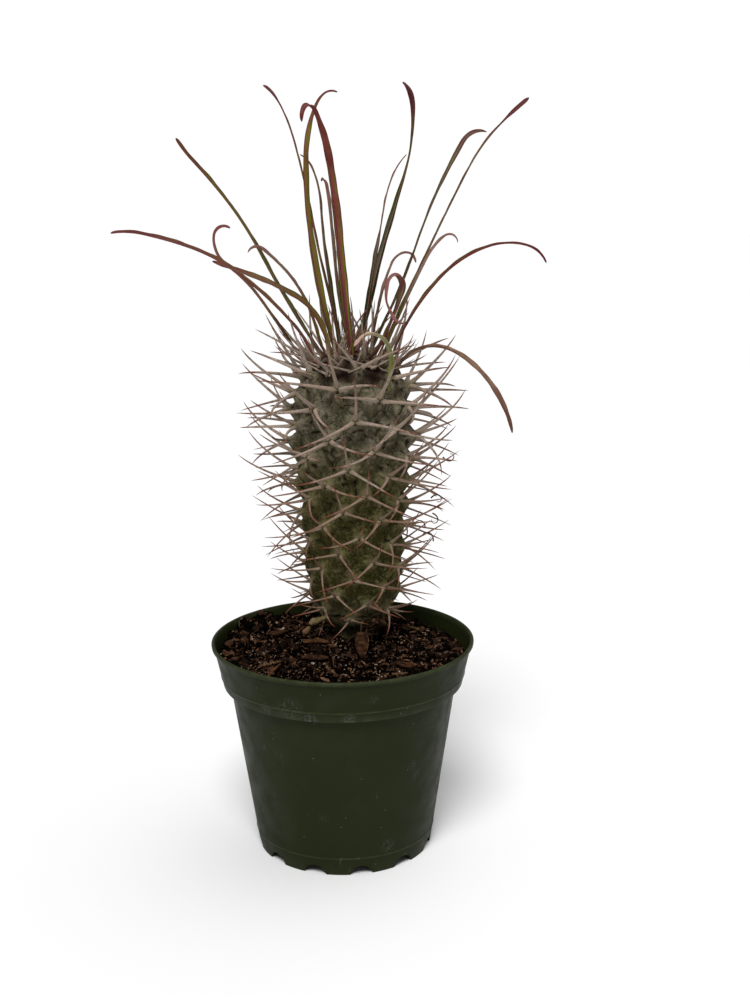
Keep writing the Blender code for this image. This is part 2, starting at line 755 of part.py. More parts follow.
def make_leaf(name, leaf, skin, group):
    points = []
    for share, point, along, side in leaf_line(leaf, LEAF_CUTS, leaf_start(leaf, skin)):
        points.extend(leaf_section(point, along, side, leaf_width(leaf, share)))
    faces = []
    for cut in range(LEAF_CUTS):
        low = 6 * cut
        high = low + 6
        for i, flip in ((0, False), (1, True), (2, False), (3, False), (4, True), (5, False)):
            j = (i + 1) % 6
            if flip:
                faces.append((low + i, high + i, low + j))
                faces.append((high + i, high + j, low + j))
            else:
                faces.append((low + i, high + i, high + j))
                faces.append((low + i, high + j, low + j))
    for low, turn in ((0, 1), (6 * LEAF_CUTS, -1)):
        for cap in ((0, 1, 4), (0, 4, 5), (1, 2, 3), (1, 3, 4)):
            faces.append(tuple(low + i for i in cap[::turn]))
    look = DRY_LEAF_LOOK if name in DRY_LEAVES else LEAF_LOOK
    mesh = mesh_from(name, points, faces)
    mesh.shade_smooth()
    return new_object(name, mesh, group, look)


def leaf_lines(skin):
    """Centre lines of the leaves, with half widths, for the spines to keep off."""
    lines = []
    for leaf in LEAVES.values():
        stations = leaf_line(leaf, LEAF_FINE_STEPS, leaf_start(leaf, skin))
        lines.append((np.array([point for _, point, _, _ in stations]), leaf["width"] / 2))
    return lines


# Bits on the soil

def seat(x, y, underside):
    """A bit's middle, as low as its underside allows; the underside is points from that middle."""
    z = max(soil_height(x + point.x, y + point.y) - point.z for point in underside)
    return Vector((x, y, z + GAP))


def across(size):
    """Evenly spaced places from one side to the other of a bit."""
    return [float(step) for step in np.linspace(-size / 2, size / 2, SEAT_SAMPLES)]


def chip_pose(chip):
    """A chip's middle and its long direction."""
    heading = Matrix.Rotation(math.radians(chip["heading"]), 3, "Z")
    turn = heading @ Matrix.Rotation(math.radians(chip["tilt"]), 3, "Y")
    underside = []
    for along in across(chip["length"]):
        for side in across(chip["breadth"]):
            underside.append(turn @ Vector((along, side, -chip["thickness"] / 2)))
    return seat(chip["x"], chip["y"], underside), turn @ Vector((1.0, 0.0, 0.0))


def make_chip(name, chip, group):
    mesh = bpy.data.meshes.new(name)
    made = new_object(name, mesh, group, BARK_LOOK)
    shape = bmesh.new()
    bmesh.ops.create_cube(shape, size=1.0)
    draw = random.Random(name)
    for corner in shape.verts:
        corner.co.x *= chip["length"] * draw.uniform(1.0 - CHIP_WEAR, 1.0)
        corner.co.y *= chip["breadth"] * draw.uniform(1.0 - CHIP_WEAR, 1.0)
        corner.co.z *= chip["thickness"] * draw.uniform(1.0 - CHIP_WEAR, 1.0)
    shape.to_mesh(mesh)
    shape.free()
    made.location, _ = chip_pose(chip)
    made.rotation_euler = (0.0, math.radians(chip["tilt"]), math.radians(chip["heading"]))
    return made


def chip_lines():
    """The chips' middle lines, with half breadths, for the spines to keep off."""
    lines = []
    for chip in CHIPS.values():
        middle, along = chip_pose(chip)
        reach = np.linspace(-0.5, 0.5, SPINE_SAMPLES) * chip["length"]
        lines.append((np.array([middle + along * step for step in reach]), chip["breadth"] / 2))
    return lines


def make_stick(name, stick, group):
    bpy.ops.mesh.primitive_cylinder_add(vertices=STICK_SIDES, radius=stick["radius"], depth=stick["length"])
    made = bpy.context.object
    made.name = name
    move_to(made, group)
    made.data.materials.append(material(name, STICK_LOOK))
    heading = math.radians(stick["heading"])
    ahead = Vector((math.cos(heading), math.sin(heading), 0.0))
    down = Vector((0.0, 0.0, -stick["radius"]))
    made.location = seat(stick["x"], stick["y"], [ahead * along + down for along in across(stick["length"])])
    made.rotation_euler = (0.0, math.pi / 2, heading)
    return made


def main():
    clear_scene()
    group = collection("potted_madagascar_palm")
    notch_cutters = collection("notch_cutters")
    hole_cutters = collection("hole_cutters")
    make_pot(group, notch_cutters)
    make_soil(group, hole_cutters)
    places = areoles()
    body = stem_body(places)
    skin = surface_of(body)
    make_stem(body, places, leaf_lines(skin) + chip_lines(), group)
    for name, leaf in LEAVES.items():
        make_leaf(name, leaf, skin, group)
    for name, chip in CHIPS.items():
        make_chip(name, chip, group)
    for name, stick in STICKS.items():
        make_stick(name, stick, group)


main()
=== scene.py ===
# Looks of the potted Madagascar palm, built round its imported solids.
# Metres, +Z up, in the solids' frame: the origin is the centre of the pot's foot, -Y the front.

import json
import math
import random
from collections import namedtuple

import bmesh
import bpy
import numpy as np
from mathutils import Matrix, Vector, noise
from mathutils.bvhtree import BVHTree

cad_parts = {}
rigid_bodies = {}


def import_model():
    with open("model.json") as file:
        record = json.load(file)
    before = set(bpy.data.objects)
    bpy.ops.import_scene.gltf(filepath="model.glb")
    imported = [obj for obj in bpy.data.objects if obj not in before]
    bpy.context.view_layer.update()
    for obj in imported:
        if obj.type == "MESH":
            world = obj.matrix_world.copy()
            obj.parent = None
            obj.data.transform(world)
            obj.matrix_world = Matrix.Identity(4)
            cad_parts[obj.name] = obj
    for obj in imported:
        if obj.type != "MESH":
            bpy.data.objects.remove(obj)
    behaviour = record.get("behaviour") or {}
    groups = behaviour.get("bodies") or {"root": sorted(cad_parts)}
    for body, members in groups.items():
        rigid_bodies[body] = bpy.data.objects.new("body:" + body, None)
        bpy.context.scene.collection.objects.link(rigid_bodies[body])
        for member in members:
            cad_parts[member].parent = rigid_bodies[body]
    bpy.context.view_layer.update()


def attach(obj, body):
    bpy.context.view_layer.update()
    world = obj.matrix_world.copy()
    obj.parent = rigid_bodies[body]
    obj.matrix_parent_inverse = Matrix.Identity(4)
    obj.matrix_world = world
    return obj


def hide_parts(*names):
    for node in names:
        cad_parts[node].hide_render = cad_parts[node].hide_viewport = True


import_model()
BODY = "root"
UP = Vector((0.0, 0.0, 1.0))

# Camera, fitted to the pot's ellipses in the photograph; angles in radians
CAMERA_PLACE = (0.0, -0.841, 0.4206)
CAMERA_PITCH = 0.230
CAMERA_YAW = 0.025
CAMERA_ROLL = -0.008
CAMERA_LENS = 50.4
CAMERA_SENSOR = 36.0

# Pot, as in the solids
POT_HEIGHT = 0.135
LIP_RADIUS = 0.0825
COLLAR_TOP_RADIUS = 0.0808
COLLAR_FOOT_RADIUS = 0.0755
COLLAR_FOOT_Z = 0.108
BODY_TOP_RADIUS = 0.0713
BODY_FOOT_RADIUS = 0.0554
WALL = 0.0014
LEDGE_Z = 0.1075
FLOOR_TOP_Z = 0.0085
FLOOR_UNDER_Z = 0.0069
FOOT_INNER_RADIUS = 0.0525
CENTRE_PAD_RADIUS = 0.012
RIDGE = 0.0004
LIP_DEPTH = 0.0030
LIP_FLARE = 0.0012
LIP_EDGE = 0.0006
LIP_DRAFT = 0.0002
COLLAR_RIDGE_Z = 0.114
FOOT_RIDGE_Z = 0.0116
NOTCHES = 12
NOTCH_RADIUS = 0.0072
NOTCH_DROP = 0.0012
NOTCH_DEPTH = 0.010
FIRST_NOTCH_DEG = 250.0
GAP = 0.0003

# Pot, finer than in the solids
POT_FINE_STEPS = 288
POT_FILLET = 0.0004
FILLET_STEPS = 4
NOTCH_FINE_STEPS = 40

# Smears on the pot: where each is, how far it reaches and how strong it is
SMEARS = (
    ((-0.0195, -0.0735, 0.1085), 0.0060, 1.00),
    ((0.0030, -0.0760, 0.1095), 0.0062, 0.75),
    ((-0.0320, -0.0700, 0.1150), 0.0120, 0.40),
    ((-0.0450, -0.0600, 0.1120), 0.0060, 0.45),
    ((0.0180, -0.0780, 0.1220), 0.0050, 0.25),
    ((0.0460, -0.0500, 0.0620), 0.0060, 0.50),
    ((0.0420, -0.0520, 0.0700), 0.0050, 0.35),
    ((0.0270, -0.0540, 0.0170), 0.0070, 0.50),
    ((-0.0130, -0.0600, 0.0400), 0.0060, 0.18),
    ((0.0500, -0.0520, 0.0980), 0.0060, 0.20),
)

# Soil, as in the solids
SOIL_WALL_Z = 0.1245
SOIL_TILT = 0.0016
SOIL_MOUND = 0.0065
SOIL_MOUND_WIDTH = 0.034
SOIL_BUMP = 0.0011
SOIL_BUMP_SIZE = 0.017
SOIL_FLAT_RADIUS = 0.072

# Soil, finer: size of its clods and how far they stand up, the pile at the back, and the fibres
SOIL_FINE_RINGS = 120
SOIL_FINE_COLUMNS = 300
SOIL_CLODS = ((0.0105, 0.0024), (0.0046, 0.0018), (0.0019, 0.0008))
SOIL_SEED = 23
PILE_HEIGHT = 0.0062
PILE_PEAK_DEG = 150.0
PILE_ARC_DEG = (-20.0, 205.0)
FIBRE_COUNT = 420
FIBRE_LENGTH = (0.002, 0.008)
FIBRE_BEND = 1.6
FIBRE_LIFT = (0.0004, 0.0012)
FIBRE_RADIUS = (0.00008, 0.00020)
FIBRE_RINGS = 6
FIBRE_SIDES = 4

# Stem, as in the solids
STEM_X = 0.008
STEM_Y = 0.022
STEM_PLUG_RADIUS = 0.0125
STEM_BOTTOM_Z = 0.100
STEM_PLUG_TOP_Z = 0.1330
STEM_COLUMNS = 40
STEM_PROFILE = (
    (0.0125, 0.1340),
    (0.0168, 0.1375),
    (0.0205, 0.1425),
    (0.0235, 0.1495),
    (0.0262, 0.1580),
    (0.0287, 0.1720),
    (0.0302, 0.2040),
    (0.0318, 0.2250),
    (0.0343, 0.2570),
    (0.0343, 0.2720),
    (0.0330, 0.2850),
    (0.0318, 0.2920),
    (0.0292, 0.2990),
    (0.0260, 0.3035),
    (0.0220, 0.3068),
    (0.0160, 0.3099),
    (0.0080, 0.3122),
)
CROWN_Z = 0.3130
CROWN_FROM_Z = 0.285
NORMAL_STEP = 0.0012
STEM_ROW_STEP = 0.0056
TUBERCLE_HEIGHT = (
    (0.1340, 0.0),
    (0.1500, 0.0030),
    (0.2040, 0.0040),
    (0.2250, 0.0050),
    (0.2570, 0.0068),
    (0.2760, 0.0064),
    (0.2900, 0.0050),
    (0.3035, 0.0030),
    (0.3099, 0.0008),
    (0.3130, 0.0),
)
TUBERCLE_REACH = 0.0115
TUBERCLE_TAIL = 1.45
TUBERCLE_EDGE = 1.15
SPIRAL_TURN_DEG = 99.65
SPIRAL_START_DEG = 78.5
AREOLE_HEIGHT = ((0, 0.3075), (30, 0.2588), (107, 0.1411))
FIRST_AREOLE = -11
LAST_AREOLE = 106
CROWN_SPIRAL_RADIUS = 0.021
CROWN_SPIRAL_START = 0.6

# Stem, finer: its rows, the zones of its skin, its cushions, lines and dark spots
SKIN_COLUMNS = 340
SKIN_ROW_STEP = 0.00074
SKIN_LOWER_Z = 0.175
SKIN_UPPER_Z = 0.250
SKIN_BASE_Z = 0.137
SKIN_BASE_TOP_Z = 0.158
WISPS_A_METRE = 190.0
SKIN_CROWN_Z = (0.2935, 0.3015)
SKIN_NEAR = 0.0031
FELT_REACH = 0.0024
SPOT_RADIUS = 0.0009
CUSHION_SIZE = (0.0118, 0.0118, 0.0098)
CUSHION_WARP = 0.0030
GROOVE_WIDTH = 0.085
BASE_LINE_GAP = 0.0042
SHADE_DEPTH = 0.0012
LEVEL_SHADE_DEPTH = 0.0026
SPOTS = ((262, 0.2508), (296, 0.2462), (252, 0.1851), (289, 0.1770))

# Spines, as in the solids
SPINE_TURNS_DEG = (0.0, 100.0, -100.0)
SPINE_RISES_DEG = (50.0, 32.0, 32.0)
SPINE_CROWN_RISE_DEG = 68.0
SPINE_LENGTH = (
    (0.140, 0.018),
    (0.170, 0.026),
    (0.204, 0.031),
    (0.257, 0.035),
    (0.295, 0.036),
    (0.313, 0.028),
)
SPINE_RADIUS = (
    (0.140, 0.0008),
    (0.204, 0.0009),
    (0.257, 0.0012),
    (0.295, 0.0015),
    (0.313, 0.0011),
)
SPINE_LENGTH_SPREAD = 0.12
SPINE_SPREAD_DEG = 11.0
SPINE_ROLL_DEG = 8.0
SPINE_SUNK = 0.0026
SPINE_APART = 0.0020
SPINE_BOW = 0.10
SPINE_SEED = 11
SPINE_TRIES = 14
SPINE_DODGE = 0.35
SPINE_LEAST_SLOPE = 0.25
SPINE_OFF_RIM = 0.004
SPINE_OFF_SOIL = 0.001
SPINE_OFF_LEAF = 0.0006
SPINE_SAMPLES = 12

# Spines, finer
SPINE_SIDES = 10
SPINE_RINGS = 16
SPINE_FLARE = 0.30
SPINE_FLARE_REACH = 0.0042
SPINE_ROOT_SUNK = 0.0008
SPINE_GROW = ((0.140, 0.60), (0.158, 1.0), (0.268, 1.0), (0.284, 1.15))
SPINE_ROOT_APART = 0.0007
SPINE_REACH_ON = 0.06
PAD_SUNK = 0.0017
PAD_HEIGHT = 0.0008
PAD_LOBE_WIDTH = 0.42
PAD_LOBE = 1.25
PAD_RADIUS = 1.05
PAD_SIDES = 24
PAD_RINGS = 6
SPINE_TAPER = ((0.0, 1.0), (0.10, 0.86), (0.25, 0.70), (0.5, 0.54), (0.75, 0.38), (0.92, 0.18), (1.0, 0.02))
YOUNG_AREOLES = 44
YOUNG_REACH = 0.0285
YOUNG_TURN_DEG = 137.5
YOUNG_APART = 0.0011
YOUNG_LENGTH = (0.010, 0.024)
YOUNG_RADIUS = (0.00034, 0.00062)
YOUNG_RINGS = 8
YOUNG_SIDES = 6

# Leaves, as in the solids: angles in degrees, with leans, twists and veers given at the stations
LEAF_STATIONS = (0.0, 0.2, 0.45, 0.7, 0.88, 1.0)
STRAIGHT = (0, 0, 0, 0, 0, 0)
Leaf = namedtuple("Leaf", "at out compass length width leans twists veer", defaults=(STRAIGHT, STRAIGHT))
LEAVES = {
    "leaf_01": Leaf(200, 0.023, 188, 0.154, 0.0046, (17, 41, 50, 70, 77, 101), (0, 5, 12, 20, 25, 30)),
    "leaf_02": Leaf(163, 0.026, 160, 0.119, 0.0040, (53, 34, 38, 57, -9, -130), (0, 8, 18, 28, 35, 40)),
    "leaf_03": Leaf(230, 0.022, 218, 0.114, 0.0052, (-4, 25, 61, 69, 72, 70), (0, 10, 30, 45, 50, 50)),
    "leaf_04": Leaf(150, 0.020, 148, 0.175, 0.0052, (40, 36, 32, 44, 49, 39), (0, 10, 22, 35, 44, 50)),
    "leaf_05": Leaf(205, 0.016, 205, 0.092, 0.0034, (32, 14, 28, 45, 53, 153), (0, 0, -15, -20, -25, -25)),
    "leaf_06": Leaf(112, 0.019, 118, 0.205, 0.0036, (14, 27, 22, 30, 52, 77), (0, 30, 58, 62, 40, 0)),
    "leaf_07": Leaf(215, 0.011, 232, 0.178, 0.0060, (27, 18, 11, -4, -40, -105), (0, 0, -15, -25, 0, 15)),
    "leaf_08": Leaf(268, 0.010, 240, 0.171, 0.0064, (15, 10, 9, 18, 42, 193), (0, -4, -9, -14, -18, -20)),
    "leaf_09": Leaf(135, 0.010, 122, 0.134, 0.0046, (13, 16, 13, 6, 44, 81), (0, 25, 40, 45, 50, 30)),
    "leaf_10": Leaf(92, 0.019, 105, 0.134, 0.0038, (40, 39, 17, 18, 34, 122), (0, 30, 50, 55, 40, 20)),
    "leaf_11": Leaf(95, 0.008, 60, 0.199, 0.0048, (58, 25, 35, 31, -2, -84), (0, 0, -10, -50, -10, 10)),
    "leaf_12": Leaf(62, 0.015, 50, 0.133, 0.0040, (6, 14, 16, 16, 40, 62), (0, 0, -20, -45, -50, -45)),
    "leaf_13": Leaf(28, 0.013, 22, 0.162, 0.0050, (26, 28, 21, 29, 32, 108), (0, -15, -15, 10, 50, 40)),
    "leaf_14": Leaf(0, 0.016, 348, 0.179, 0.0048, (27, 25, 26, 28, 46, 51), (0, -10, 10, 12, -30, -70)),
    "leaf_15": Leaf(338, 0.019, 345, 0.097, 0.0036, (20, 23, 26, 28, 51, 180), (0, 6, 14, 21, 26, 30)),
    "leaf_16": Leaf(310, 0.016, 330, 0.104, 0.0054, (50, 22, 27, -169, -216, -295), STRAIGHT,
                    (0, 0, 75, 75, -20, -20)),
    "leaf_17": Leaf(312, 0.032, 205, 0.056, 0.0048, (-1, -12, 16, 72, 132, 142)),
    "leaf_18": Leaf(8, 0.024, 352, 0.137, 0.0044, (15, 30, 43, 71, 106, 158), (0, -7, -16, -25, -31, -35)),
    "leaf_19": Leaf(345, 0.028, 325, 0.112, 0.0044, (21, 68, 114, 137, 154, 167), (0, 4, 9, 14, 18, 20)),
    "leaf_20": Leaf(42, 0.019, 35, 0.085, 0.0034, (-16, 14, 17, 29, 99, 172), (0, -10, -20, -30, -30, -30)),
}
LEAF_THICKNESS = 0.0007
LEAF_MIDRIB = 0.0011
LEAF_FOLD = 0.24
LEAF_WIDTHS = ((0.0, 0.6), (0.25, 0.95), (0.5, 1.0), (0.8, 0.92), (0.93, 0.75), (1.0, 0.35))
LEAF_FINE_STEPS = 96
LEAF_SEAT_STEPS = 800
LEAF_CROWDING = 1.25

# Leaves, finer: their sections, how each is tinted, and where along it a leaf is slimmer or fuller
BLADE_CUTS = 84
BLADE_ACROSS = 6
BLADE_THICKNESS = 0.00045
BLADE_RIB = 0.0007
BLADE_RIB_WIDTH = 0.20
BLADE_TIP_FROM = 0.982
BLADE_RIPPLES = (0.00022, 0.00012)
BLADE_COMMON_RED = 0.28
BLADE_RED_SPREAD = 0.12
Tint = namedtuple("Tint", "red pink deep maroon pale", defaults=(None, 0.0, 0.0, 0.30, 0.0))
TINTS = {
    "leaf_01": Tint(red=0.85, pink=0.15),
    "leaf_02": Tint(red=0.60, pink=0.25, deep=0.2),
    "leaf_03": Tint(red=0.45, pink=0.20),
    "leaf_04": Tint(red=0.15, maroon=0.55),
    "leaf_05": Tint(pink=0.50, deep=0.3),
    "leaf_06": Tint(red=0.45, maroon=0.95),
    "leaf_07": Tint(red=0.35, maroon=0.55),
    "leaf_08": Tint(red=1.0, maroon=0.12),
    "leaf_09": Tint(red=0.20, pink=0.20, deep=0.3),
    "leaf_10": Tint(pink=0.35),
    "leaf_11": Tint(red=0.15, deep=0.75, maroon=0.85),
    "leaf_12": Tint(pink=0.40, deep=0.75),
    "leaf_13": Tint(pink=0.15, deep=0.35),
    "leaf_14": Tint(pink=0.20, maroon=0.75),
    "leaf_15": Tint(pink=0.75),
    "leaf_16": Tint(red=1.0, pink=0.40),
    "leaf_17": Tint(pale=1.0),
    "leaf_18": Tint(red=1.0, maroon=0.75),
    "leaf_20": Tint(pink=0.90),
}
FULL = ((0.0, 1.0), (1.0, 1.0))
BLADE_SLIM = {
    "leaf_03": ((0.0, 1.0), (0.3, 0.85), (0.9, 0.65), (1.0, 0.75)),
    "leaf_04": ((0.0, 1.0), (0.85, 1.05), (0.93, 1.25), (1.0, 1.7)),
    "leaf_06": ((0.0, 0.85), (0.40, 0.75), (0.55, 0.60), (0.86, 0.55), (0.91, 0.95), (0.96, 1.5), (1.0, 1.6)),
    "leaf_07": ((0.0, 1.0), (0.78, 1.0), (0.86, 0.5), (0.93, 0.42), (1.0, 0.8)),
    "leaf_08": ((0.0, 1.0), (0.80, 0.95), (0.90, 0.85), (1.0, 0.8)),
    "leaf_09": ((0.0, 1.0), (0.45, 0.9), (0.65, 0.55), (1.0, 0.7)),
    "leaf_11": ((0.0, 1.05), (0.62, 1.0), (0.72, 0.55), (0.82, 0.50), (0.88, 0.95), (0.95, 1.3), (1.0, 1.3)),
    "leaf_12": ((0.0, 1.0), (0.50, 1.0), (0.60, 0.42), (1.0, 0.5)),
    "leaf_13": ((0.0, 1.0), (0.30, 0.8), (0.42, 0.55), (0.66, 0.50), (0.80, 0.78), (1.0, 0.8)),
    "leaf_14": ((0.0, 0.9), (0.35, 0.75), (0.50, 0.52), (0.88, 0.45), (0.93, 0.80), (0.97, 1.1), (1.0, 1.4)),
    "leaf_15": ((0.0, 1.0), (0.80, 0.8), (1.0, 0.7)),
    "leaf_16": ((0.0, 1.0), (0.50, 1.0), (0.68, 0.60), (1.0, 0.55)),
    "leaf_18": ((0.0, 0.85), (0.30, 1.05), (0.60, 0.85), (0.85, 0.50), (0.95, 0.75), (1.0, 1.4)),
    "leaf_20": ((0.0, 1.0), (0.5, 0.85), (1.0, 0.8)),
}
DRY_LEAVES = ("leaf_19",)

# Bits on the soil, as in the solids
CHIPS = {
    "bark_01": dict(x=0.012, y=-0.0125, length=0.017, breadth=0.009, thickness=0.003, heading=-85, tilt=52),
    "bark_02": dict(x=-0.0175, y=-0.020, length=0.0175, breadth=0.006, thickness=0.003, heading=8, tilt=6),
    "bark_03": dict(x=0.039, y=-0.028, length=0.012, breadth=0.007, thickness=0.0026, heading=-25, tilt=5),
    "bark_04": dict(x=-0.042, y=0.030, length=0.015, breadth=0.008, thickness=0.0028, heading=50, tilt=4),
}
STICKS = {
    "stick_01": dict(x=-0.0075, y=-0.037, length=0.015, radius=0.0008, heading=-68),
    "stick_02": dict(x=0.031, y=-0.042, length=0.016, radius=0.0009, heading=4),
    "stick_03": dict(x=-0.045, y=-0.025, length=0.015, radius=0.0010, heading=35),
    "stick_04": dict(x=0.044, y=0.042, length=0.018, radius=0.0009, heading=-40),
}
SEAT_SAMPLES = 5

# Bits, finer: the chips' outlines, and roots, shreds of leaf and straws of the scene's own
CHIP_CUTS = 17
CHIP_STATIONS = (-1.0, -0.5, 0.0, 0.5, 1.0)
CHIP_OUTLINES = {
    "bark_01": (0.62, 0.92, 0.98, 0.72, 0.20),
    "bark_02": (0.25, 0.80, 0.95, 0.90, 0.45),
    "bark_03": (0.55, 0.90, 0.85, 0.60, 0.25),
    "bark_04": (0.40, 0.85, 0.95, 0.75, 0.50),
}
HIGHLIGHT_RIMMED = ("bark_01",)
STICK_RINGS = 18
STICK_SIDES = 10
CURLS = ((0.0641, 0.015, 0.2471), (0.0566, 0.015, 0.2209), (0.0573, 0.012, 0.2118),
         (0.0529, 0.015, 0.2015), (0.0579, 0.012, 0.1936))
CURL_LENGTH = 0.0135
CURL_RADIUS = 0.0005
CURL_RINGS = 14
STUB = ((-0.005, 0.010, 0.1490), (-0.0085, 0.007, 0.1475), (-0.013, 0.006, 0.1455),
        (-0.0175, 0.006, 0.1438), (-0.0205, 0.006, 0.1420))
STUB_FOOT = ((-0.0205, 0.006, 0.1400), (-0.0222, 0.006, 0.1385), (-0.0238, 0.006, 0.1368),
             (-0.0245, 0.007, 0.1340))
ROOT_COUNT = 60
ROOT_ARC_DEG = (-85.0, 30.0)
ROOT_RINGS = 24
NUB_ARC_DEG = (-62.0, 20.0)
NUB_COUNT = 11
STRAWS = (
    (((-0.0055, -0.031), (-0.0085, -0.026)), (0.0, 0.011), 0.0005),
    (((-0.047, -0.053), (-0.038, -0.038)), (0.0, 0.004), 0.0011),
    (((0.033, -0.023), (0.047, -0.027)), (0.0, 0.001), 0.0006),
    (((-0.025, 0.004), (-0.008, 0.005)), (0.0, 0.001), 0.0020),
)

# Browns of the woody bits: darkest, middle and palest, and the size of their grain
BARK = ((0.010, 0.005, 0.003), (0.050, 0.020, 0.009), (0.125, 0.055, 0.023), 0.0020)
STICK = ((0.040, 0.020, 0.010), (0.120, 0.064, 0.030), (0.250, 0.150, 0.075), 0.0012)
STRAW = ((0.030, 0.013, 0.006), (0.100, 0.044, 0.018), (0.230, 0.115, 0.048), 0.0012)
SHRED = ((0.020, 0.008, 0.005), (0.060, 0.024, 0.012), (0.120, 0.055, 0.028), 0.0012)

# Floor and light
FLOOR_HALF = 9
FLOOR_COLOUR = (0.87, 0.87, 0.87)
BACKDROP = 1.02
SOFT_LIGHT = 0.22
SUNS = {
    "key": dict(place=(-0.16, -0.93, 1.33), power=2.75, angle_deg=24),
    "top": dict(place=(0.45, 0.35, 1.60), power=0.85, angle_deg=60),
}


# Small tools

def interpolate(x, table):
    xs, ys = zip(*sorted(table))
    return float(np.interp(x, xs, ys))


def smooth_step(x, low, high):
    share = np.clip((x - low) / (high - low), 0.0, 1.0)
    return share * share * (3.0 - 2.0 * share)


def hump(x, width):
    """A bell-shaped share: 1 where x is nothing, and nearly 0 beyond twice that width."""
    return np.exp(-((x / width) ** 2))


def noise_at(points, size, stretch=(1.0, 1.0, 1.0)):
    """Smooth noise from -1 to 1 at each point, with lumps of that size."""
    scaled = np.asarray(points) / (np.array(stretch) * size)
    return np.array([noise.noise(Vector(p)) for p in scaled])


def level_way(angle):
    """The level direction at an angle from +X."""
    return Vector((math.cos(angle), math.sin(angle), 0.0))


def bowed(start, middle, end, t):
    """The place at t on a curve that leaves the start and reaches the end aiming at the middle."""
    return start * (1 - t) ** 2 + middle * (2 * t * (1 - t)) + end * t**2


def placed(name, data):
    """A new object of the scene that shows this mesh, lamp or camera."""
    made = bpy.data.objects.new(name, data)
    bpy.context.scene.collection.objects.link(made)
    return made


def new_mesh(name, points, faces):
    mesh = bpy.data.meshes.new(name)
    mesh.from_pydata([tuple(p) for p in points], [], [tuple(f) for f in faces])
    mesh.update()
    return mesh


def mesh_of(name, shape):
    """Ends work on a shape, and keeps it as a mesh."""
    mesh = bpy.data.meshes.new(name)
    shape.to_mesh(mesh)
    shape.free()
    return mesh


def set_value(mesh, name, values):
    """Keeps one number for each vertex on the mesh, for its material to read."""
    made = mesh.attributes.new(name, "FLOAT", "POINT")
    made.data.foreach_set("value", np.asarray(values, np.float32))


def add_piece(name, mesh, look, slot, replaced=(), sharp_deg=None):
    """A piece of the scene: smooth, in its material, riding on the object's one body."""
    mesh.shade_smooth()
    if sharp_deg:
        mesh.set_sharp_from_angle(angle=math.radians(sharp_deg))
    mesh.materials.clear()
    mesh.materials.append(look)
    piece = placed(name, mesh)
    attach(piece, BODY)
    if replaced:
        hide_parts(*replaced)


class Heap:
    """Gathers many small closed shapes into one mesh, each with its own numbers for the material."""

    def __init__(self, *values):
        self.points = []
        self.faces = []
        self.values = {name: [] for name in values}
        self.count = 0

    def add(self, points, faces, **values):
        self.points.append(np.asarray(points, float))
        self.faces.extend(tuple(i + self.count for i in face) for face in faces)
        for name, value in values.items():
            self.values[name].append(np.broadcast_to(np.asarray(value, float), (len(points),)))
        self.count += len(points)

    def add_piece(self, name, *rest, **options):
        mesh = new_mesh(name, np.vstack(self.points), self.faces)
        for key, values in self.values.items():
            set_value(mesh, key, np.concatenate(values))
        add_piece(name, mesh, *rest, **options)


def tube_faces(rings, sides):
    """Faces of a tube of rings of points, closed flat at both ends."""
    faces = [tuple(reversed(range(sides)))]
    for low in range(0, (rings - 1) * sides, sides):
        for i in range(sides):
            j = (i + 1) % sides
            faces.append((low + i, low + j, low + sides + j, low + sides + i))
    last = (rings - 1) * sides
    faces.append(tuple(range(last, last + sides)))
    return faces


def poled_faces(rings, sides, first, start, end):
    """Faces of rings of points, numbered from the first one on, closed by a start and an end point."""
    last = first + (rings - 1) * sides
    faces = []
    for i in range(sides):
        j = (i + 1) % sides
        faces.append((start, first + j, first + i))
        faces.append((end, last + i, last + j))
        for low in range(first, last, sides):
            faces.append((low + i, low + j, low + sides + j, low + sides + i))
    return faces


def inside_out(faces):
    return [(face[0], *reversed(face[1:])) for face in faces]


def tube_points(path, radii, sides):
    """Rings of points round a path, turned as little as they can be from one to the next."""
    path = np.asarray(path, float)
    ahead = np.gradient(path, axis=0)
    ahead /= np.linalg.norm(ahead, axis=1)[:, None]
    side = np.cross(ahead[0], (0.0, 0.0, 1.0) if abs(ahead[0][2]) < 0.9 else (1.0, 0.0, 0.0))
    points = []
    for centre, along, radius in zip(path, ahead, radii):
        side = side - along * (side @ along)
        side /= np.linalg.norm(side)
        other = np.cross(along, side)
        for corner in range(sides):
            angle = math.tau * corner / sides
            points.append(centre + (side * math.cos(angle) + other * math.sin(angle)) * radius)
    return np.array(points)


# Materials

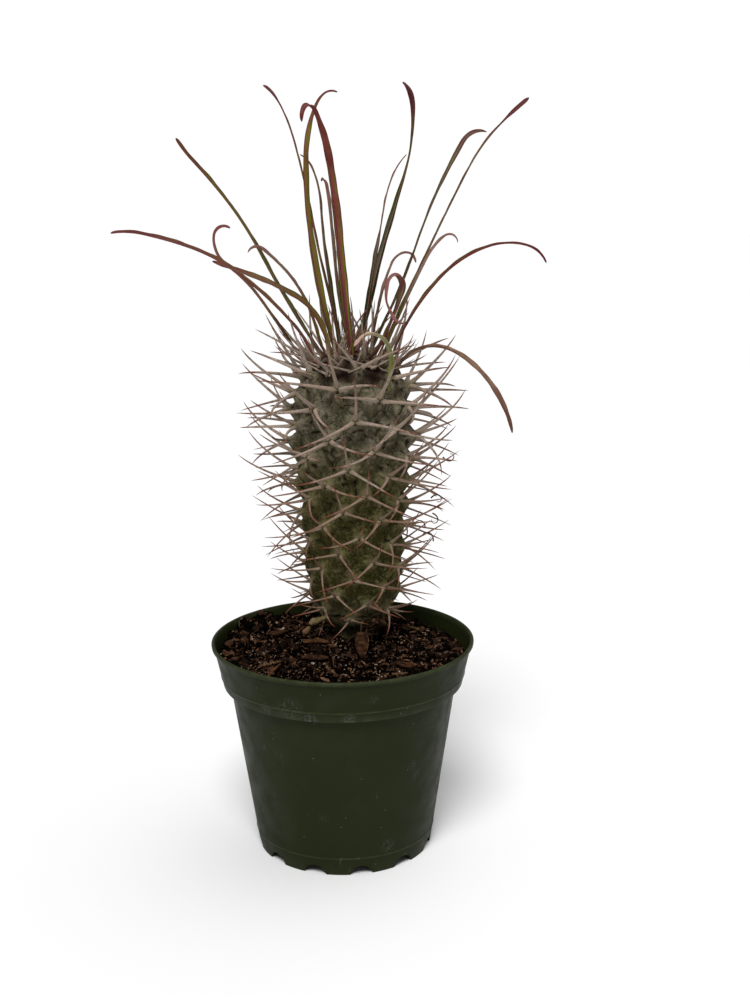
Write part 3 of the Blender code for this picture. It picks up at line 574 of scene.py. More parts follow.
class Look:
    """One Principled material, with short calls for the nodes that feed it."""

    def __init__(self, name, roughness, specular):
        self.material = bpy.data.materials.new(name)
        self.material.use_nodes = True
        self.tree = self.material.node_tree
        self.shader = self.tree.nodes["Principled BSDF"]
        self.roughness(roughness)
        self.feed(self.shader.inputs["Specular IOR Level"], specular)
        self.coordinates = self.node("TexCoord", {}, "Object")
        self.paint = None

    def feed(self, socket, value):
        """Gives a socket a number, a colour or another node's output."""
        if isinstance(value, bpy.types.NodeSocket):
            self.tree.links.new(value, socket)
        elif isinstance(value, tuple) and len(socket.default_value) == len(value) + 1:
            socket.default_value = (*value, 1.0)
        else:
            socket.default_value = value

    def node(self, kind, inputs, output=0, **settings):
        """One output of a new node whose inputs are fed."""
        made = self.tree.nodes.new("ShaderNode" + kind)
        for name, value in settings.items():
            setattr(made, name, value)
        for name, value in inputs.items():
            self.feed(made.inputs[name], value)
        return made.outputs[output]

    def value(self, name):
        return self.node("Attribute", {}, "Fac", attribute_name=name)

    def math(self, operation, a, b=0.0):
        return self.node("Math", {0: a, 1: b}, operation=operation)

    def times(self, first, *others):
        for other in others:
            first = self.math("MULTIPLY", first, other)
        return first

    def vector(self, operation, a, b=(0.0, 0.0, 0.0), output=0):
        return self.node("VectorMath", {0: a, 1: b}, output, operation=operation)

    def scaled(self, vector, amount):
        return self.node("VectorMath", {0: vector, "Scale": amount}, operation="SCALE")

    def warped(self, size, amount):
        """The coordinates, pushed about by that many metres in lumps of that size."""
        inputs = {"Vector": self.coordinates, "Scale": 1.0 / size, "Detail": 3.0}
        push = self.node("TexNoise", inputs, "Color")
        push = self.scaled(self.vector("SUBTRACT", push, (0.5, 0.5, 0.5)), amount)
        return self.vector("ADD", self.coordinates, push)

    def noise(self, size, detail=3.0, roughness=0.55, stretch=None, distortion=0.0, where=None):
        """Noise from 0 to 1 with lumps of that size in metres."""
        if stretch:
            where = self.node("Mapping", {"Vector": self.coordinates, "Scale": stretch})
        inputs = {"Vector": where or self.coordinates, "Scale": 1.0 / size, "Detail": detail,
                  "Roughness": roughness, "Distortion": distortion}
        return self.node("TexNoise", inputs, "Fac")

    def cells(self, size, where=None, feature="F1"):
        """Distance inside cells of that size, from their middles or, as DISTANCE_TO_EDGE, their edges."""
        inputs = {"Vector": where or self.coordinates, "Scale": 1.0 / size}
        return self.node("TexVoronoi", inputs, "Distance", feature=feature)

    def span(self, value, low, high, to_low=0.0, to_high=1.0):
        """The value's place between low and high, smoothly, as a number between to_low and to_high."""
        inputs = {"Value": value, "From Min": low, "From Max": high, "To Min": to_low, "To Max": to_high}
        return self.node("MapRange", inputs, "Result", interpolation_type="SMOOTHSTEP")

    def line(self, field, middle, low, high, strength):
        """A line where a field crosses its middle, fading out from low to high on either side."""
        off = self.math("ABSOLUTE", self.math("SUBTRACT", field, middle))
        return self.span(off, low, high, strength, 0.0)

    def mix(self, share, a, b, blend="MIX"):
        """Colour a, with that share of colour b over it; the node's sockets go by their places."""
        return self.node("Mix", {0: share, 6: a, 7: b}, 2, data_type="RGBA", blend_type=blend)

    def ramp(self, value, *stops):
        """A colour between stops, each a place from 0 to 1 and a colour."""
        colour = self.node("ValToRGB", {"Fac": value}, "Color")
        points = colour.node.color_ramp.elements
        while len(points) < len(stops):
            points.new(0.5)
        for point, (place, shade) in zip(points, stops):
            point.position = place
            point.color = (*shade, 1.0)
        return colour

    def base(self, colour):
        """Makes this the surface's colour."""
        self.paint = colour
        self.feed(self.shader.inputs["Base Color"], colour)

    def coat(self, colour, *shares, blend="MIX"):
        """Lays a colour over the surface's own, by the product of the shares."""
        self.base(self.mix(self.times(*shares), self.paint, colour, blend))

    def roughness(self, value):
        self.feed(self.shader.inputs["Roughness"], value)

    def bump(self, *layers):
        """Layers of relief, each a height from 0 to 1 and the depth in metres that it stands for."""
        below = {}
        for height, depth in layers:
            inputs = {"Height": height, "Distance": depth, "Strength": 1.0}
            below = {"Normal": self.node("Bump", {**inputs, **below}, "Normal")}
        self.feed(self.shader.inputs["Normal"], below["Normal"])


def pot_look():
    """Matt moulded plastic, with dust on its edges, a film, scuffs, smears and specks."""
    look = Look("pot_plastic", 0.5, specular=0.07)
    look.base(look.ramp(look.noise(0.05, 2.0), (0.3, (0.0115, 0.0155, 0.0035)),
                        (0.7, (0.0145, 0.0188, 0.0050))))
    look.coat((0.042, 0.050, 0.024), look.value("worn"),
              look.span(look.noise(0.006, 4.0), 0.35, 0.75, 0.35, 1.0))
    look.coat((0.030, 0.034, 0.022), look.span(look.noise(0.030, 5.0, 0.6), 0.54, 0.80, 0.0, 0.30))
    streaks = look.noise(0.004, 4.0, 0.6, stretch=(1.0, 1.0, 0.18))
    scuffed = look.times(look.span(streaks, 0.60, 0.72), look.span(look.noise(0.017), 0.56, 0.70))
    look.coat((0.075, 0.080, 0.062), scuffed, 0.45)
    threads = look.line(look.noise(0.0048, 2.0, distortion=1.2), 0.5, 0.004, 0.024, 0.80)
    dabs = look.span(look.noise(0.0014, 4.0), 0.48, 0.62, 0.0, 0.60)
    smeared = look.math("MAXIMUM", threads, dabs)
    for place, reach, strength in SMEARS:
        apart = look.vector("DISTANCE", look.coordinates, place, "Value")
        look.coat((0.095, 0.103, 0.093), smeared, look.span(apart, 0.3 * reach, reach, strength, 0.0))
    look.coat((0.16, 0.16, 0.14), look.span(look.cells(0.0068), 0.030, 0.055, 0.7, 0.0))
    look.coat((0.003, 0.003, 0.002), look.span(look.cells(0.0105), 0.028, 0.045, 0.9, 0.0))
    look.roughness(look.span(look.noise(0.012, 4.0), 0.3, 0.75, 0.42, 0.60))
    look.bump((look.noise(0.0012, 3.0), 0.00003), (look.noise(0.02, 2.0), 0.00030))
    return look.material


def soil_look():
    """Damp, nearly black, with brown clods; its near-black is partly the soil's own colour and partly painted
    shade for the voids between crumbs.
    """
    look = Look("potting_soil", 0.95, specular=0.0)
    clods = look.noise(0.0035, 6.0, 0.7)
    look.base(look.ramp(clods, (0.42, (0.0003, 0.0002, 0.0002)), (0.60, (0.0035, 0.0020, 0.0014)),
                        (0.74, (0.024, 0.012, 0.0075))))
    look.bump((look.noise(0.0008, 5.0, 0.7), 0.0006), (clods, 0.0012))
    return look.material


def crumb_look():
    """Bits of peat, bark, wood and grit; tone runs from the darkest to the palest of them."""
    look = Look("soil_crumbs", 0.92, specular=0.015)
    tone = look.math("ADD", look.value("tone"), look.span(look.noise(0.0011, 4.0), 0.3, 0.7, -0.10, 0.10))
    look.base(look.ramp(tone, (0.0, (0.0003, 0.0002, 0.0002)), (0.38, (0.0020, 0.0011, 0.0008)),
                        (0.52, (0.016, 0.0085, 0.006)), (0.64, (0.052, 0.025, 0.014)),
                        (0.78, (0.150, 0.072, 0.036)), (0.89, (0.26, 0.160, 0.095)),
                        (1.0, (0.46, 0.41, 0.36))))
    look.coat((0.003, 0.002, 0.0015), look.span(look.noise(0.0006, 3.0), 0.45, 0.75, 0.0, 0.6))
    look.bump((look.noise(0.0005, 4.0, 0.7), 0.00025))
    return look.material


def grit_look():
    """Perlite: dull white, pitted."""
    look = Look("perlite", 0.9, specular=0.3)
    look.base(look.ramp(look.noise(0.0006, 4.0), (0.35, (0.14, 0.12, 0.10)), (0.6, (0.42, 0.40, 0.37))))
    look.bump((look.noise(0.0004, 4.0, 0.7), 0.0002))
    return look.material


def skin_wisps(look, z, local, away):
    """Streaks that run outwards from each areole; which areole it is shifts the noise."""
    aim = look.scaled(look.vector("NORMALIZE", local), 2.3)
    which = look.times(look.math("SUBTRACT", z, look.value("up")), 700.0)
    further = look.math("ADD", look.times(away, WISPS_A_METRE), which)
    spot = look.vector("ADD", aim, look.node("CombineXYZ", {"Z": further}))
    spot = look.vector("ADD", spot, look.scaled(look.warped(0.006, 0.010), WISPS_A_METRE))
    return look.noise(1.0, 4.0, 0.6, where=spot)


def skin_look():
    """Felted grey-green skin, streaked outwards from each areole, greener and mossy towards the base."""
    look = Look("stem_skin", 0.9, specular=0.08)
    z = look.node("SeparateXYZ", {"Vector": look.coordinates}, "Z")
    upper = look.span(z, 0.200, 0.262)
    level = look.value("level")
    relief = look.value("relief")
    local = look.node("CombineXYZ", {"X": look.value("side"), "Y": look.value("up")})
    away = look.vector("LENGTH", local, output="Value")
    off_areole = look.span(away, 0.003, 0.006)
    patches = look.noise(0.010, 5.0, 0.65)
    low = look.ramp(patches, (0.32, (0.026, 0.023, 0.006)), (0.50, (0.055, 0.048, 0.017)),
                    (0.68, (0.042, 0.042, 0.005)))
    high = look.ramp(patches, (0.30, (0.060, 0.051, 0.031)), (0.50, (0.122, 0.105, 0.067)),
                     (0.70, (0.088, 0.080, 0.036)))
    look.base(look.mix(upper, low, high))
    # Paler towards the foot: painted highlight on the base, which faces down into shade.
    look.coat((0.110, 0.090, 0.052), look.span(z, 0.146, 0.170, 0.8, 0.0))
    look.coat((0.029, 0.034, 0.002), look.span(look.noise(0.0075, 3.0), 0.50, 0.64),
              look.span(z, 0.27, 0.21, 0.25, 0.85))
    # Painted shade in the skin's hollows and painted highlight on its raised parts, from its level value.
    look.coat((0.026, 0.023, 0.007), look.span(level, 0.42, 0.05, 0.0, 0.50))
    look.coat((0.225, 0.198, 0.138), look.span(level, 0.55, 1.00, 0.0, 0.30))
    look.coat((0.056, 0.044, 0.009), look.value("moss"), 0.80)
    wisps = skin_wisps(look, z, local, away)
    reach = look.times(look.span(away, 0.0015, 0.0035), look.span(away, 0.0040, 0.0125, 1.0, 0.25))
    look.coat((0.230, 0.203, 0.145), look.span(wisps, 0.53, 0.63, 0.0, 0.40), reach)
    look.coat((0.022, 0.018, 0.008), look.span(wisps, 0.47, 0.38, 0.0, 0.60), reach)
    folds = []
    for size, middle, share in ((0.0095, 0.50, 0.50), (0.0062, 0.52, 0.40)):
        line = look.line(look.noise(size, 2.0, 0.5, distortion=0.9), middle, 0.002, 0.018, share)
        folds.append(look.times(line, look.span(look.noise(1.6 * size), 0.42, 0.56, 0.15, 1.0)))
    folds = look.math("MAXIMUM", *folds)
    look.coat((0.270, 0.242, 0.178), folds)
    creases = look.line(look.noise(0.0105, 2.0, 0.5, (1.0, 1.0, 1.6), 0.6), 0.46, 0.002, 0.012, 0.80)
    creases = look.times(creases, look.span(look.noise(0.01785, 2.0), 0.46, 0.56), off_areole)
    look.coat((0.010, 0.0075, 0.0035), creases)
    fade = look.span(upper, 0.0, 1.0, 0.45, 1.0)
    look.coat((0.235, 0.212, 0.158), look.span(look.noise(0.0009, 5.0, 0.7), 0.54, 0.70, 0.0, 0.30), fade)
    net = look.cells(0.0040, look.warped(0.004, 0.0046), "DISTANCE_TO_EDGE")
    look.coat((0.21, 0.19, 0.14), look.span(net, 0.0, 0.05, 1.0, 0.0),
              look.span(look.noise(0.006), 0.50, 0.66), look.span(upper, 0.0, 1.0, 0.35, 0.0))
    # Painted highlight on the skin's small raised bumps, from its relief value.
    look.coat((0.250, 0.222, 0.160), look.span(relief, 0.56, 0.90, 0.0, 0.55), fade)
    look.coat((0.290, 0.250, 0.175), look.value("felt"), 0.80)
    # Painted shade in the skin's small dips, from its relief value.
    look.coat((0.010, 0.0075, 0.004), look.span(relief, 0.36, 0.04, 0.0, 0.88))
    plates = look.cells(0.0075, look.warped(0.0045, 0.0070), "DISTANCE_TO_EDGE")
    cracks = look.times(look.span(plates, 0.004, 0.026, 1.0, 0.0), look.span(look.noise(0.0052), 0.52, 0.58),
                        off_areole, look.span(upper, 0.0, 1.0, 0.35, 0.95))
    look.coat((0.0075, 0.0055, 0.003), cracks)
    look.coat((0.90, 0.91, 0.58), look.span(z, 0.265, 0.228, 0.0, 0.9), look.span(z, 0.150, 0.175, 0.45, 1.0),
              blend="MULTIPLY")
    # The crown's dark red-brown: partly the colour of its bark, partly painted shade among the feet of the
    # leaves and spines.
    look.coat((0.016, 0.006, 0.005), look.value("crown"))
    look.coat((0.0015, 0.001, 0.001), look.value("spot"))
    look.coat((0.022, 0.018, 0.008), look.span(look.cells(0.0009), 0.10, 0.32, 0.22, 0.0))
    fine = look.noise(0.0016, 6.0, 0.7, stretch=(1.0, 1.0, 0.5), distortion=0.5)
    dip = look.math("SUBTRACT", folds, look.math("MAXIMUM", cracks, creases))
    look.bump((look.noise(0.0004, 3.0, 0.6), 0.00008), (look.times(wisps, reach), 0.0010), (dip, 0.0008),
              (fine, 0.0006))
    return look.material


def spine_look():
    """Felted grey spines, darkened by painted shade in the clefts between their roots, brown and bare towards
    the tip.
    """
    look = Look("spine", 0.8, specular=0.10)
    along = look.value("along")
    tone = look.value("tone")
    fibres = look.noise(0.0009, 5.0, 0.65)
    grey = look.ramp(fibres, (0.30, (0.215, 0.158, 0.124)), (0.52, (0.350, 0.278, 0.225)),
                     (0.75, (0.500, 0.425, 0.360)))
    pink = look.ramp(fibres, (0.30, (0.160, 0.088, 0.055)), (0.70, (0.290, 0.182, 0.122)))
    root = look.ramp(fibres, (0.30, (0.190, 0.155, 0.090)), (0.70, (0.340, 0.285, 0.190)))
    brown = look.ramp(along, (0.45, (0.200, 0.090, 0.052)), (0.80, (0.155, 0.048, 0.026)),
                      (1.0, (0.050, 0.018, 0.011)))
    bare = look.math("SUBTRACT", along, look.span(tone, 0.0, 1.0, 0.72, 0.48))
    bare = look.math("ADD", bare, look.span(look.noise(0.003, 3.0), 0.3, 0.7, -0.12, 0.12))
    bare = look.span(bare, -0.16, 0.20)
    look.base(look.mix(tone, grey, pink))
    look.coat(root, look.span(along, 0.01, 0.15, 0.8, 0.0))
    look.coat(brown, bare)
    look.coat((0.150, 0.060, 0.036), look.span(look.noise(0.0017, 5.0, 0.75), 0.53, 0.63, 0.0, 0.75),
              look.span(along, 0.05, 0.35))
    # Painted shade in the clefts between spine roots and in the middles of the pads.
    look.coat((0.013, 0.008, 0.004), look.value("cleft"))
    look.roughness(look.span(bare, 0.0, 1.0, 0.88, 0.5))
    look.bump((look.noise(0.0005, 4.0, 0.65), 0.00012))
    return look.material


def scar_look():
    """The small corky scar under each areole: dark, with an ochre middle."""
    look = Look("areole_scar", 0.85, specular=0.1)
    look.base(look.ramp(look.value("tone"), (0.0, (0.012, 0.008, 0.004)), (0.55, (0.034, 0.019, 0.008)),
                        (1.0, (0.120, 0.068, 0.020))))
    look.bump((look.noise(0.0006, 4.0), 0.0002))
    return look.material


def blade_look():
    """Leaf. Above: dark green with a rose rib. Below: olive, with a band that is purple at its foot
    and russet higher, and a dark red rib. Its margins are red, and its tip maroon."""
    look = Look("leaf_blade", 0.5, specular=0.15)
    across = look.math("ABSOLUTE", look.value("across"))
    along = look.value("along")
    under = look.value("under")
    red = look.value("red")
    cloud = look.noise(0.014, 4.0, 0.6)
    green = look.ramp(cloud, (0.30, (0.014, 0.024, 0.002)), (0.55, (0.034, 0.048, 0.003)),
                      (0.75, (0.066, 0.080, 0.005)))
    olive = look.ramp(cloud, (0.30, (0.066, 0.072, 0.002)), (0.55, (0.112, 0.114, 0.003)),
                      (0.75, (0.155, 0.145, 0.007)))
    olive = look.mix(look.span(along, 0.10, 0.45, 0.65, 0.0), olive, (0.150, 0.165, 0.008))
    russet = look.mix(look.span(along, 0.10, 0.40), (0.160, 0.026, 0.046), (0.185, 0.056, 0.030))
    russet = look.mix(look.span(cloud, 0.4, 0.7, 0.0, 0.4), russet, (0.115, 0.026, 0.018))
    band = look.times(look.span(across, 0.42, 0.60, 1.0, 0.0), look.span(red, 0.0, 0.8, 0.30, 1.0))
    look.base(look.mix(under, green, look.mix(band, olive, russet)))
    look.coat((0.012, 0.016, 0.0015), look.value("deep"), look.span(along, 0.30, 0.75, 1.0, 0.0))
    rib_edge = look.span(under, 0.0, 1.0, 0.10, 0.11)
    rib = look.span(look.math("SUBTRACT", across, rib_edge), -0.05, 0.05, 1.0, 0.0)
    look.coat(look.mix(under, (0.270, 0.120, 0.110), (0.085, 0.009, 0.022)), rib)
    veins = look.noise(0.0011, 4.0, 0.6, stretch=(1.0, 1.0, 0.15))
    look.coat((0.18, 0.14, 0.04), look.span(veins, 0.5, 0.8, 0.0, 0.22))
    look.coat((0.105, 0.012, 0.014), look.span(look.math("ADD", across, look.times(red, 0.12)), 0.90, 1.02))
    flush = look.math("ADD", look.times(along, 1.2), look.times(red, 0.7))
    flush = look.math("ADD", flush, look.span(look.noise(0.009, 3.0), 0.3, 0.7, -0.18, 0.18))
    look.coat(look.ramp(cloud, (0.35, (0.110, 0.014, 0.014)), (0.7, (0.190, 0.044, 0.034))),
              look.span(flush, 1.02, 1.65, 0.0, 0.88))
    look.coat((0.350, 0.205, 0.180), look.value("pink"),
              look.span(look.noise(0.004, 4.0), 0.3, 0.7, 0.6, 1.0))
    look.coat((0.105, 0.010, 0.018), look.value("maroon"), look.span(along, 0.76, 0.92))
    look.coat(look.ramp(along, (0.35, (0.13, 0.15, 0.035)), (0.62, (0.36, 0.34, 0.18)),
                        (0.95, (0.46, 0.28, 0.24))), look.value("pale"))
    look.coat((0.070, 0.018, 0.018), look.span(along, 0.975, 1.0, 0.0, 0.8))
    look.roughness(look.span(under, 0.0, 1.0, 0.42, 0.62))
    look.bump((veins, 0.00012))
    return look.material


def dry_blade_look():
    """A leaf that is drying: tan and red-brown, ribbed."""
    look = Look("dry_leaf", 0.65, specular=0.2)
    across = look.math("ABSOLUTE", look.value("across"))
    look.base(look.ramp(look.noise(0.008, 4.0, 0.6), (0.3, (0.100, 0.048, 0.026)),
                        (0.6, (0.190, 0.108, 0.062)), (0.8, (0.25, 0.165, 0.105))))
    look.coat((0.085, 0.022, 0.015), look.span(across, 0.70, 1.0, 0.0, 0.8))
    look.coat((0.090, 0.028, 0.020), look.span(look.value("along"), 0.60, 0.98, 0.0, 0.8))
    look.bump((look.noise(0.0010, 4.0, 0.6, stretch=(1.0, 1.0, 0.2)), 0.0003))
    return look.material


def wood_look(name, dark, middle, pale, grain):
    """Bark or stick: three browns along a grain, with soil clinging to it."""
    look = Look(name, 0.88, specular=0.06)
    streaks = look.noise(grain, 5.0, 0.7, stretch=(0.35, 1.0, 1.0), distortion=0.4)
    look.base(look.ramp(streaks, (0.30, dark), (0.50, middle), (0.72, pale)))
    # Paler orange-brown by the edge value: painted highlight along one long side of a chip.
    look.coat(tuple(2.2 * c + 0.05 for c in pale), look.value("edge"))
    look.coat((0.007, 0.004, 0.003), look.span(look.noise(0.0030, 6.0, 0.75), 0.46, 0.60, 0.0, 0.85))
    look.bump((streaks, 0.0008), (look.noise(grain / 4, 4.0, 0.7), 0.0003))
    return look.material


def root_look():
    """Knobbly living root, tan where it is new and brown at its older end."""
    look = Look("root", 0.8, specular=0.12)
    look.base(look.ramp(look.value("tone"), (0.0, (0.030, 0.014, 0.008)), (0.3, (0.100, 0.050, 0.026)),
                        (0.6, (0.200, 0.115, 0.058)), (1.0, (0.260, 0.200, 0.095))))
    look.coat((0.05, 0.030, 0.014), look.span(look.noise(0.002, 5.0), 0.5, 0.75, 0.0, 0.7))
    look.bump((look.noise(0.0012, 5.0, 0.7), 0.0006))
    return look.material


# Pot

def collar_radius(z):
    share = (z - COLLAR_FOOT_Z) / (POT_HEIGHT - LIP_DEPTH - COLLAR_FOOT_Z)
    return COLLAR_FOOT_RADIUS + (COLLAR_TOP_RADIUS - COLLAR_FOOT_RADIUS) * share


def body_radius(z):
    return BODY_FOOT_RADIUS + (BODY_TOP_RADIUS - BODY_FOOT_RADIUS) * z / LEDGE_Z


def inner_radius(z):
    """Radius of the pot's inner wall: the body below the ledge, the collar above it."""
    body_top = LEDGE_Z - WALL / 2
    collar_bottom = LEDGE_Z + WALL
    if z >= collar_bottom:
        return collar_radius(z) - WALL
    if z <= body_top:
        return body_radius(z) - WALL
    share = (z - body_top) / (collar_bottom - body_top)
    low = body_radius(body_top) - WALL
    high = collar_radius(collar_bottom) - WALL
    return low + (high - low) * share


def ridge(z, radius_at):
    """Three points of a fine raised line round the outside, top to bottom."""
    return [
        (radius_at(z + 2 * RIDGE), z + 2 * RIDGE),
        (radius_at(z) + RIDGE, z),
        (radius_at(z - 2 * RIDGE), z - 2 * RIDGE),
    ]


def pot_profile():
    lip_under_z = POT_HEIGHT - LIP_DEPTH
    inside = [
        (0.0, FLOOR_TOP_Z),
        (inner_radius(FLOOR_TOP_Z), FLOOR_TOP_Z),
        (inner_radius(LEDGE_Z - WALL / 2), LEDGE_Z - WALL / 2),
        (inner_radius(LEDGE_Z + WALL), LEDGE_Z + WALL),
        (inner_radius(lip_under_z), lip_under_z),
    ]
    lip = [
        (inner_radius(lip_under_z) + LIP_FLARE, POT_HEIGHT),
        (LIP_RADIUS - LIP_EDGE, POT_HEIGHT),
        (LIP_RADIUS, POT_HEIGHT - LIP_EDGE),
        (LIP_RADIUS - LIP_DRAFT, lip_under_z + LIP_EDGE),
        (COLLAR_TOP_RADIUS, lip_under_z),
    ]
    collar = ridge(COLLAR_RIDGE_Z, collar_radius) + [
        (COLLAR_FOOT_RADIUS, COLLAR_FOOT_Z),
        (BODY_TOP_RADIUS, LEDGE_Z),
    ]
    foot = ridge(FOOT_RIDGE_Z, body_radius) + [
        (BODY_FOOT_RADIUS, 0.0),
        (FOOT_INNER_RADIUS, 0.0),
        (FOOT_INNER_RADIUS, FLOOR_UNDER_Z),
        (CENTRE_PAD_RADIUS, FLOOR_UNDER_Z),
        (CENTRE_PAD_RADIUS, 0.0),
        (0.0, 0.0),
    ]
    return inside + lip + collar + foot


def filleted(profile, size):
    """The profile with each corner eased by a small curve."""
    points = [Vector(p) for p in profile]
    eased = [points[0]]
    for before, corner, after in zip(points, points[1:], points[2:]):
        back = before - corner
        ahead = after - corner
        cut = min(size, 0.4 * back.length, 0.4 * ahead.length)
        start = corner + back.normalized() * cut
        end = corner + ahead.normalized() * cut
        for step in range(FILLET_STEPS + 1):
            t = step / FILLET_STEPS
            eased.append(bowed(start, corner, end, t))
    eased.append(points[-1])
    return eased


def revolved(profile, steps):
    """Points and faces of a closed turned body whose profile starts and ends on the axis."""
    rings = [(point.x, point.y) for point in profile[1:-1]]
    points = [(0.0, 0.0, profile[0].y), (0.0, 0.0, profile[-1].y)]
    for radius, z in rings:
        for step in range(steps):
            angle = math.tau * step / steps
            points.append((radius * math.cos(angle), radius * math.sin(angle), z))
    return points, inside_out(poled_faces(len(rings), steps, 2, 0, 1))


def make_pot():
    points, faces = revolved(filleted(pot_profile(), POT_FILLET), POT_FINE_STEPS)
    pot = placed("pot_blank", new_mesh("pot_blank", points, faces))
    cutters = bpy.data.collections.new("notch_cutters")
    bpy.context.scene.collection.children.link(cutters)
    for number in range(NOTCHES):
        angle = math.radians(FIRST_NOTCH_DEG + 360.0 / NOTCHES * number)
        shape = bmesh.new()
        bmesh.ops.create_cone(shape, cap_ends=True, segments=NOTCH_FINE_STEPS, radius1=NOTCH_RADIUS,
                              radius2=NOTCH_RADIUS, depth=NOTCH_DEPTH)
        notch = bpy.data.objects.new("notch", mesh_of("notch", shape))
        notch.location = (BODY_FOOT_RADIUS * math.cos(angle), BODY_FOOT_RADIUS * math.sin(angle), -NOTCH_DROP)
        notch.rotation_euler = (0.0, math.pi / 2, angle)
        cutters.objects.link(notch)
    cut = pot.modifiers.new("notches", "BOOLEAN")
    cut.operand_type = "COLLECTION"
    cut.collection = cutters
    cut.operation = "DIFFERENCE"
    graph = bpy.context.evaluated_depsgraph_get()
    mesh = bpy.data.meshes.new_from_object(pot.evaluated_get(graph))
    for item in [pot, *cutters.objects]:
        bpy.data.objects.remove(item)
    bpy.data.collections.remove(cutters)
    set_value(mesh, "worn", pot_wear(mesh))
    add_piece("pot_shell", mesh, pot_look(), "pot_plastic", ["pot"], sharp_deg=32)


def pot_wear(mesh):
    """How dusty the pot is at each vertex: along its edges and raised lines."""
    z = np.array([vertex.co.z for vertex in mesh.vertices])
    radius = np.array([math.hypot(vertex.co.x, vertex.co.y) for vertex in mesh.vertices])
    worn = np.zeros(len(z))
    outside = radius > np.array([inner_radius(height) for height in z]) + WALL / 2
    for edge_z, reach, share in (
        (POT_HEIGHT - LIP_EDGE, 0.0014, 0.85),
        (COLLAR_RIDGE_Z, 0.0005, 0.95),
        (COLLAR_FOOT_Z, 0.0006, 1.0),
        (FOOT_RIDGE_Z, 0.0005, 0.85),
        (0.0, 0.0020, 0.35),
    ):
        worn = np.maximum(worn, share * hump(z - edge_z, reach))
    return np.where(outside, worn, np.where(z > POT_HEIGHT - LIP_EDGE, 0.55, 0.0))


# Soil

def soil_height(x, y):
    """Height of the soil: a low mound round the stem, lower on the right, with small bumps."""
    from_stem = math.hypot(x - STEM_X, y - STEM_Y)
    from_axis = math.hypot(x, y)
    wall_share = min(1.0, from_axis / SOIL_FLAT_RADIUS)
    mound = SOIL_MOUND * math.exp(-((from_stem / SOIL_MOUND_WIDTH) ** 2))
    tilt = -SOIL_TILT * x / LIP_RADIUS
    place = Vector((x, y, 0.0)) / SOIL_BUMP_SIZE
    bump = SOIL_BUMP * noise.noise(place) * (1.0 - wall_share**3)
    return SOIL_WALL_Z + mound + tilt + bump


def clod_height(x, y):
    """Height of the clods over the smooth soil, and of the soil piled against the wall at the back."""
    total = 0.0
    for size, height in SOIL_CLODS:
        total += height * noise.noise(Vector((x, y, size)) / size)
    turn = (math.degrees(math.atan2(y, x)) - PILE_PEAK_DEG + 180.0) % 360.0 - 180.0
    pile = PILE_HEIGHT * (0.15 + math.exp(-((turn / 32.0) ** 2)))
    lumpy = max(0.0, 0.75 + 1.2 * noise.noise(Vector((x, y, 0.0)) / 0.011))
    back = float(smooth_step(y, -0.015, 0.020) * smooth_step(math.hypot(x, y), 0.050, 0.072))
    return total + pile * back * lumpy


def ground(x, y):
    return soil_height(x, y) + clod_height(x, y)


def make_soil():
    wall = inner_radius(SOIL_WALL_Z) - GAP
    radii = np.linspace(0.0, 1.0, SOIL_FINE_RINGS + 1)[1:] ** 0.75 * wall
    angles = [math.tau * step / SOIL_FINE_COLUMNS for step in range(SOIL_FINE_COLUMNS)]
    ring = [(math.cos(angle), math.sin(angle)) for angle in angles]
    points = [(0.0, 0.0, ground(0.0, 0.0))]
    for radius in radii:
        for across, back in ring:
            points.append((radius * across, radius * back, ground(radius * across, radius * back)))
    for radius, z in (
        (inner_radius(LEDGE_Z + WALL) - GAP, LEDGE_Z + WALL + GAP),
        (inner_radius(LEDGE_Z - WALL / 2) - GAP, LEDGE_Z - WALL / 2 + GAP),
        (inner_radius(FLOOR_TOP_Z) - GAP, FLOOR_TOP_Z + GAP),
    ):
        points += [(radius * across, radius * back, z) for across, back in ring]
    points.append((0.0, 0.0, FLOOR_TOP_Z + GAP))
    faces = inside_out(poled_faces(SOIL_FINE_RINGS + 3, SOIL_FINE_COLUMNS, 1, 0, len(points) - 1))
    add_piece("soil_bed", new_mesh("soil_bed", points, faces), soil_look(), "soil", ["soil"])


def lump_shape(rounds):
    """Points and faces of a ball of triangles, as a start for crumbs."""
    shape = bmesh.new()
    bmesh.ops.create_icosphere(shape, subdivisions=rounds, radius=1.0)
    points = np.array([vertex.co for vertex in shape.verts])
    faces = [tuple(vertex.index for vertex in face.verts) for face in shape.faces]
    shape.free()
    return points, faces


def turned_at_random(draw, tilt):
    """A rotation of any heading, tipped from flat by up to that many radians."""
    heading = Matrix.Rotation(draw.uniform(0.0, math.tau), 3, "Z")
    tip = Matrix.Rotation(draw.uniform(-tilt, tilt), 3, "Y")
    roll = Matrix.Rotation(draw.uniform(0.0, math.tau), 3, "X")
    return np.array(heading @ tip @ roll)


def soil_place(draw, edge):
    """A random place on the soil, clear of the stem."""
    while True:
        radius = (inner_radius(SOIL_WALL_Z) - GAP - edge) * math.sqrt(draw.random())
        angle = draw.uniform(0.0, math.tau)
        x = radius * math.cos(angle)
        y = radius * math.sin(angle)
        if math.hypot(x - STEM_X, y - STEM_Y) > STEM_PLUG_RADIUS:
            return x, y


def wall_place(draw, edge):
    """A random place near the pot's wall, at the back and sides, where the soil is piled up."""
    radius = inner_radius(SOIL_WALL_Z) - GAP - edge - abs(draw.gauss(0.0, 0.006))
    angle = math.radians(draw.uniform(*PILE_ARC_DEG))
    return radius * math.cos(angle), radius * math.sin(angle)


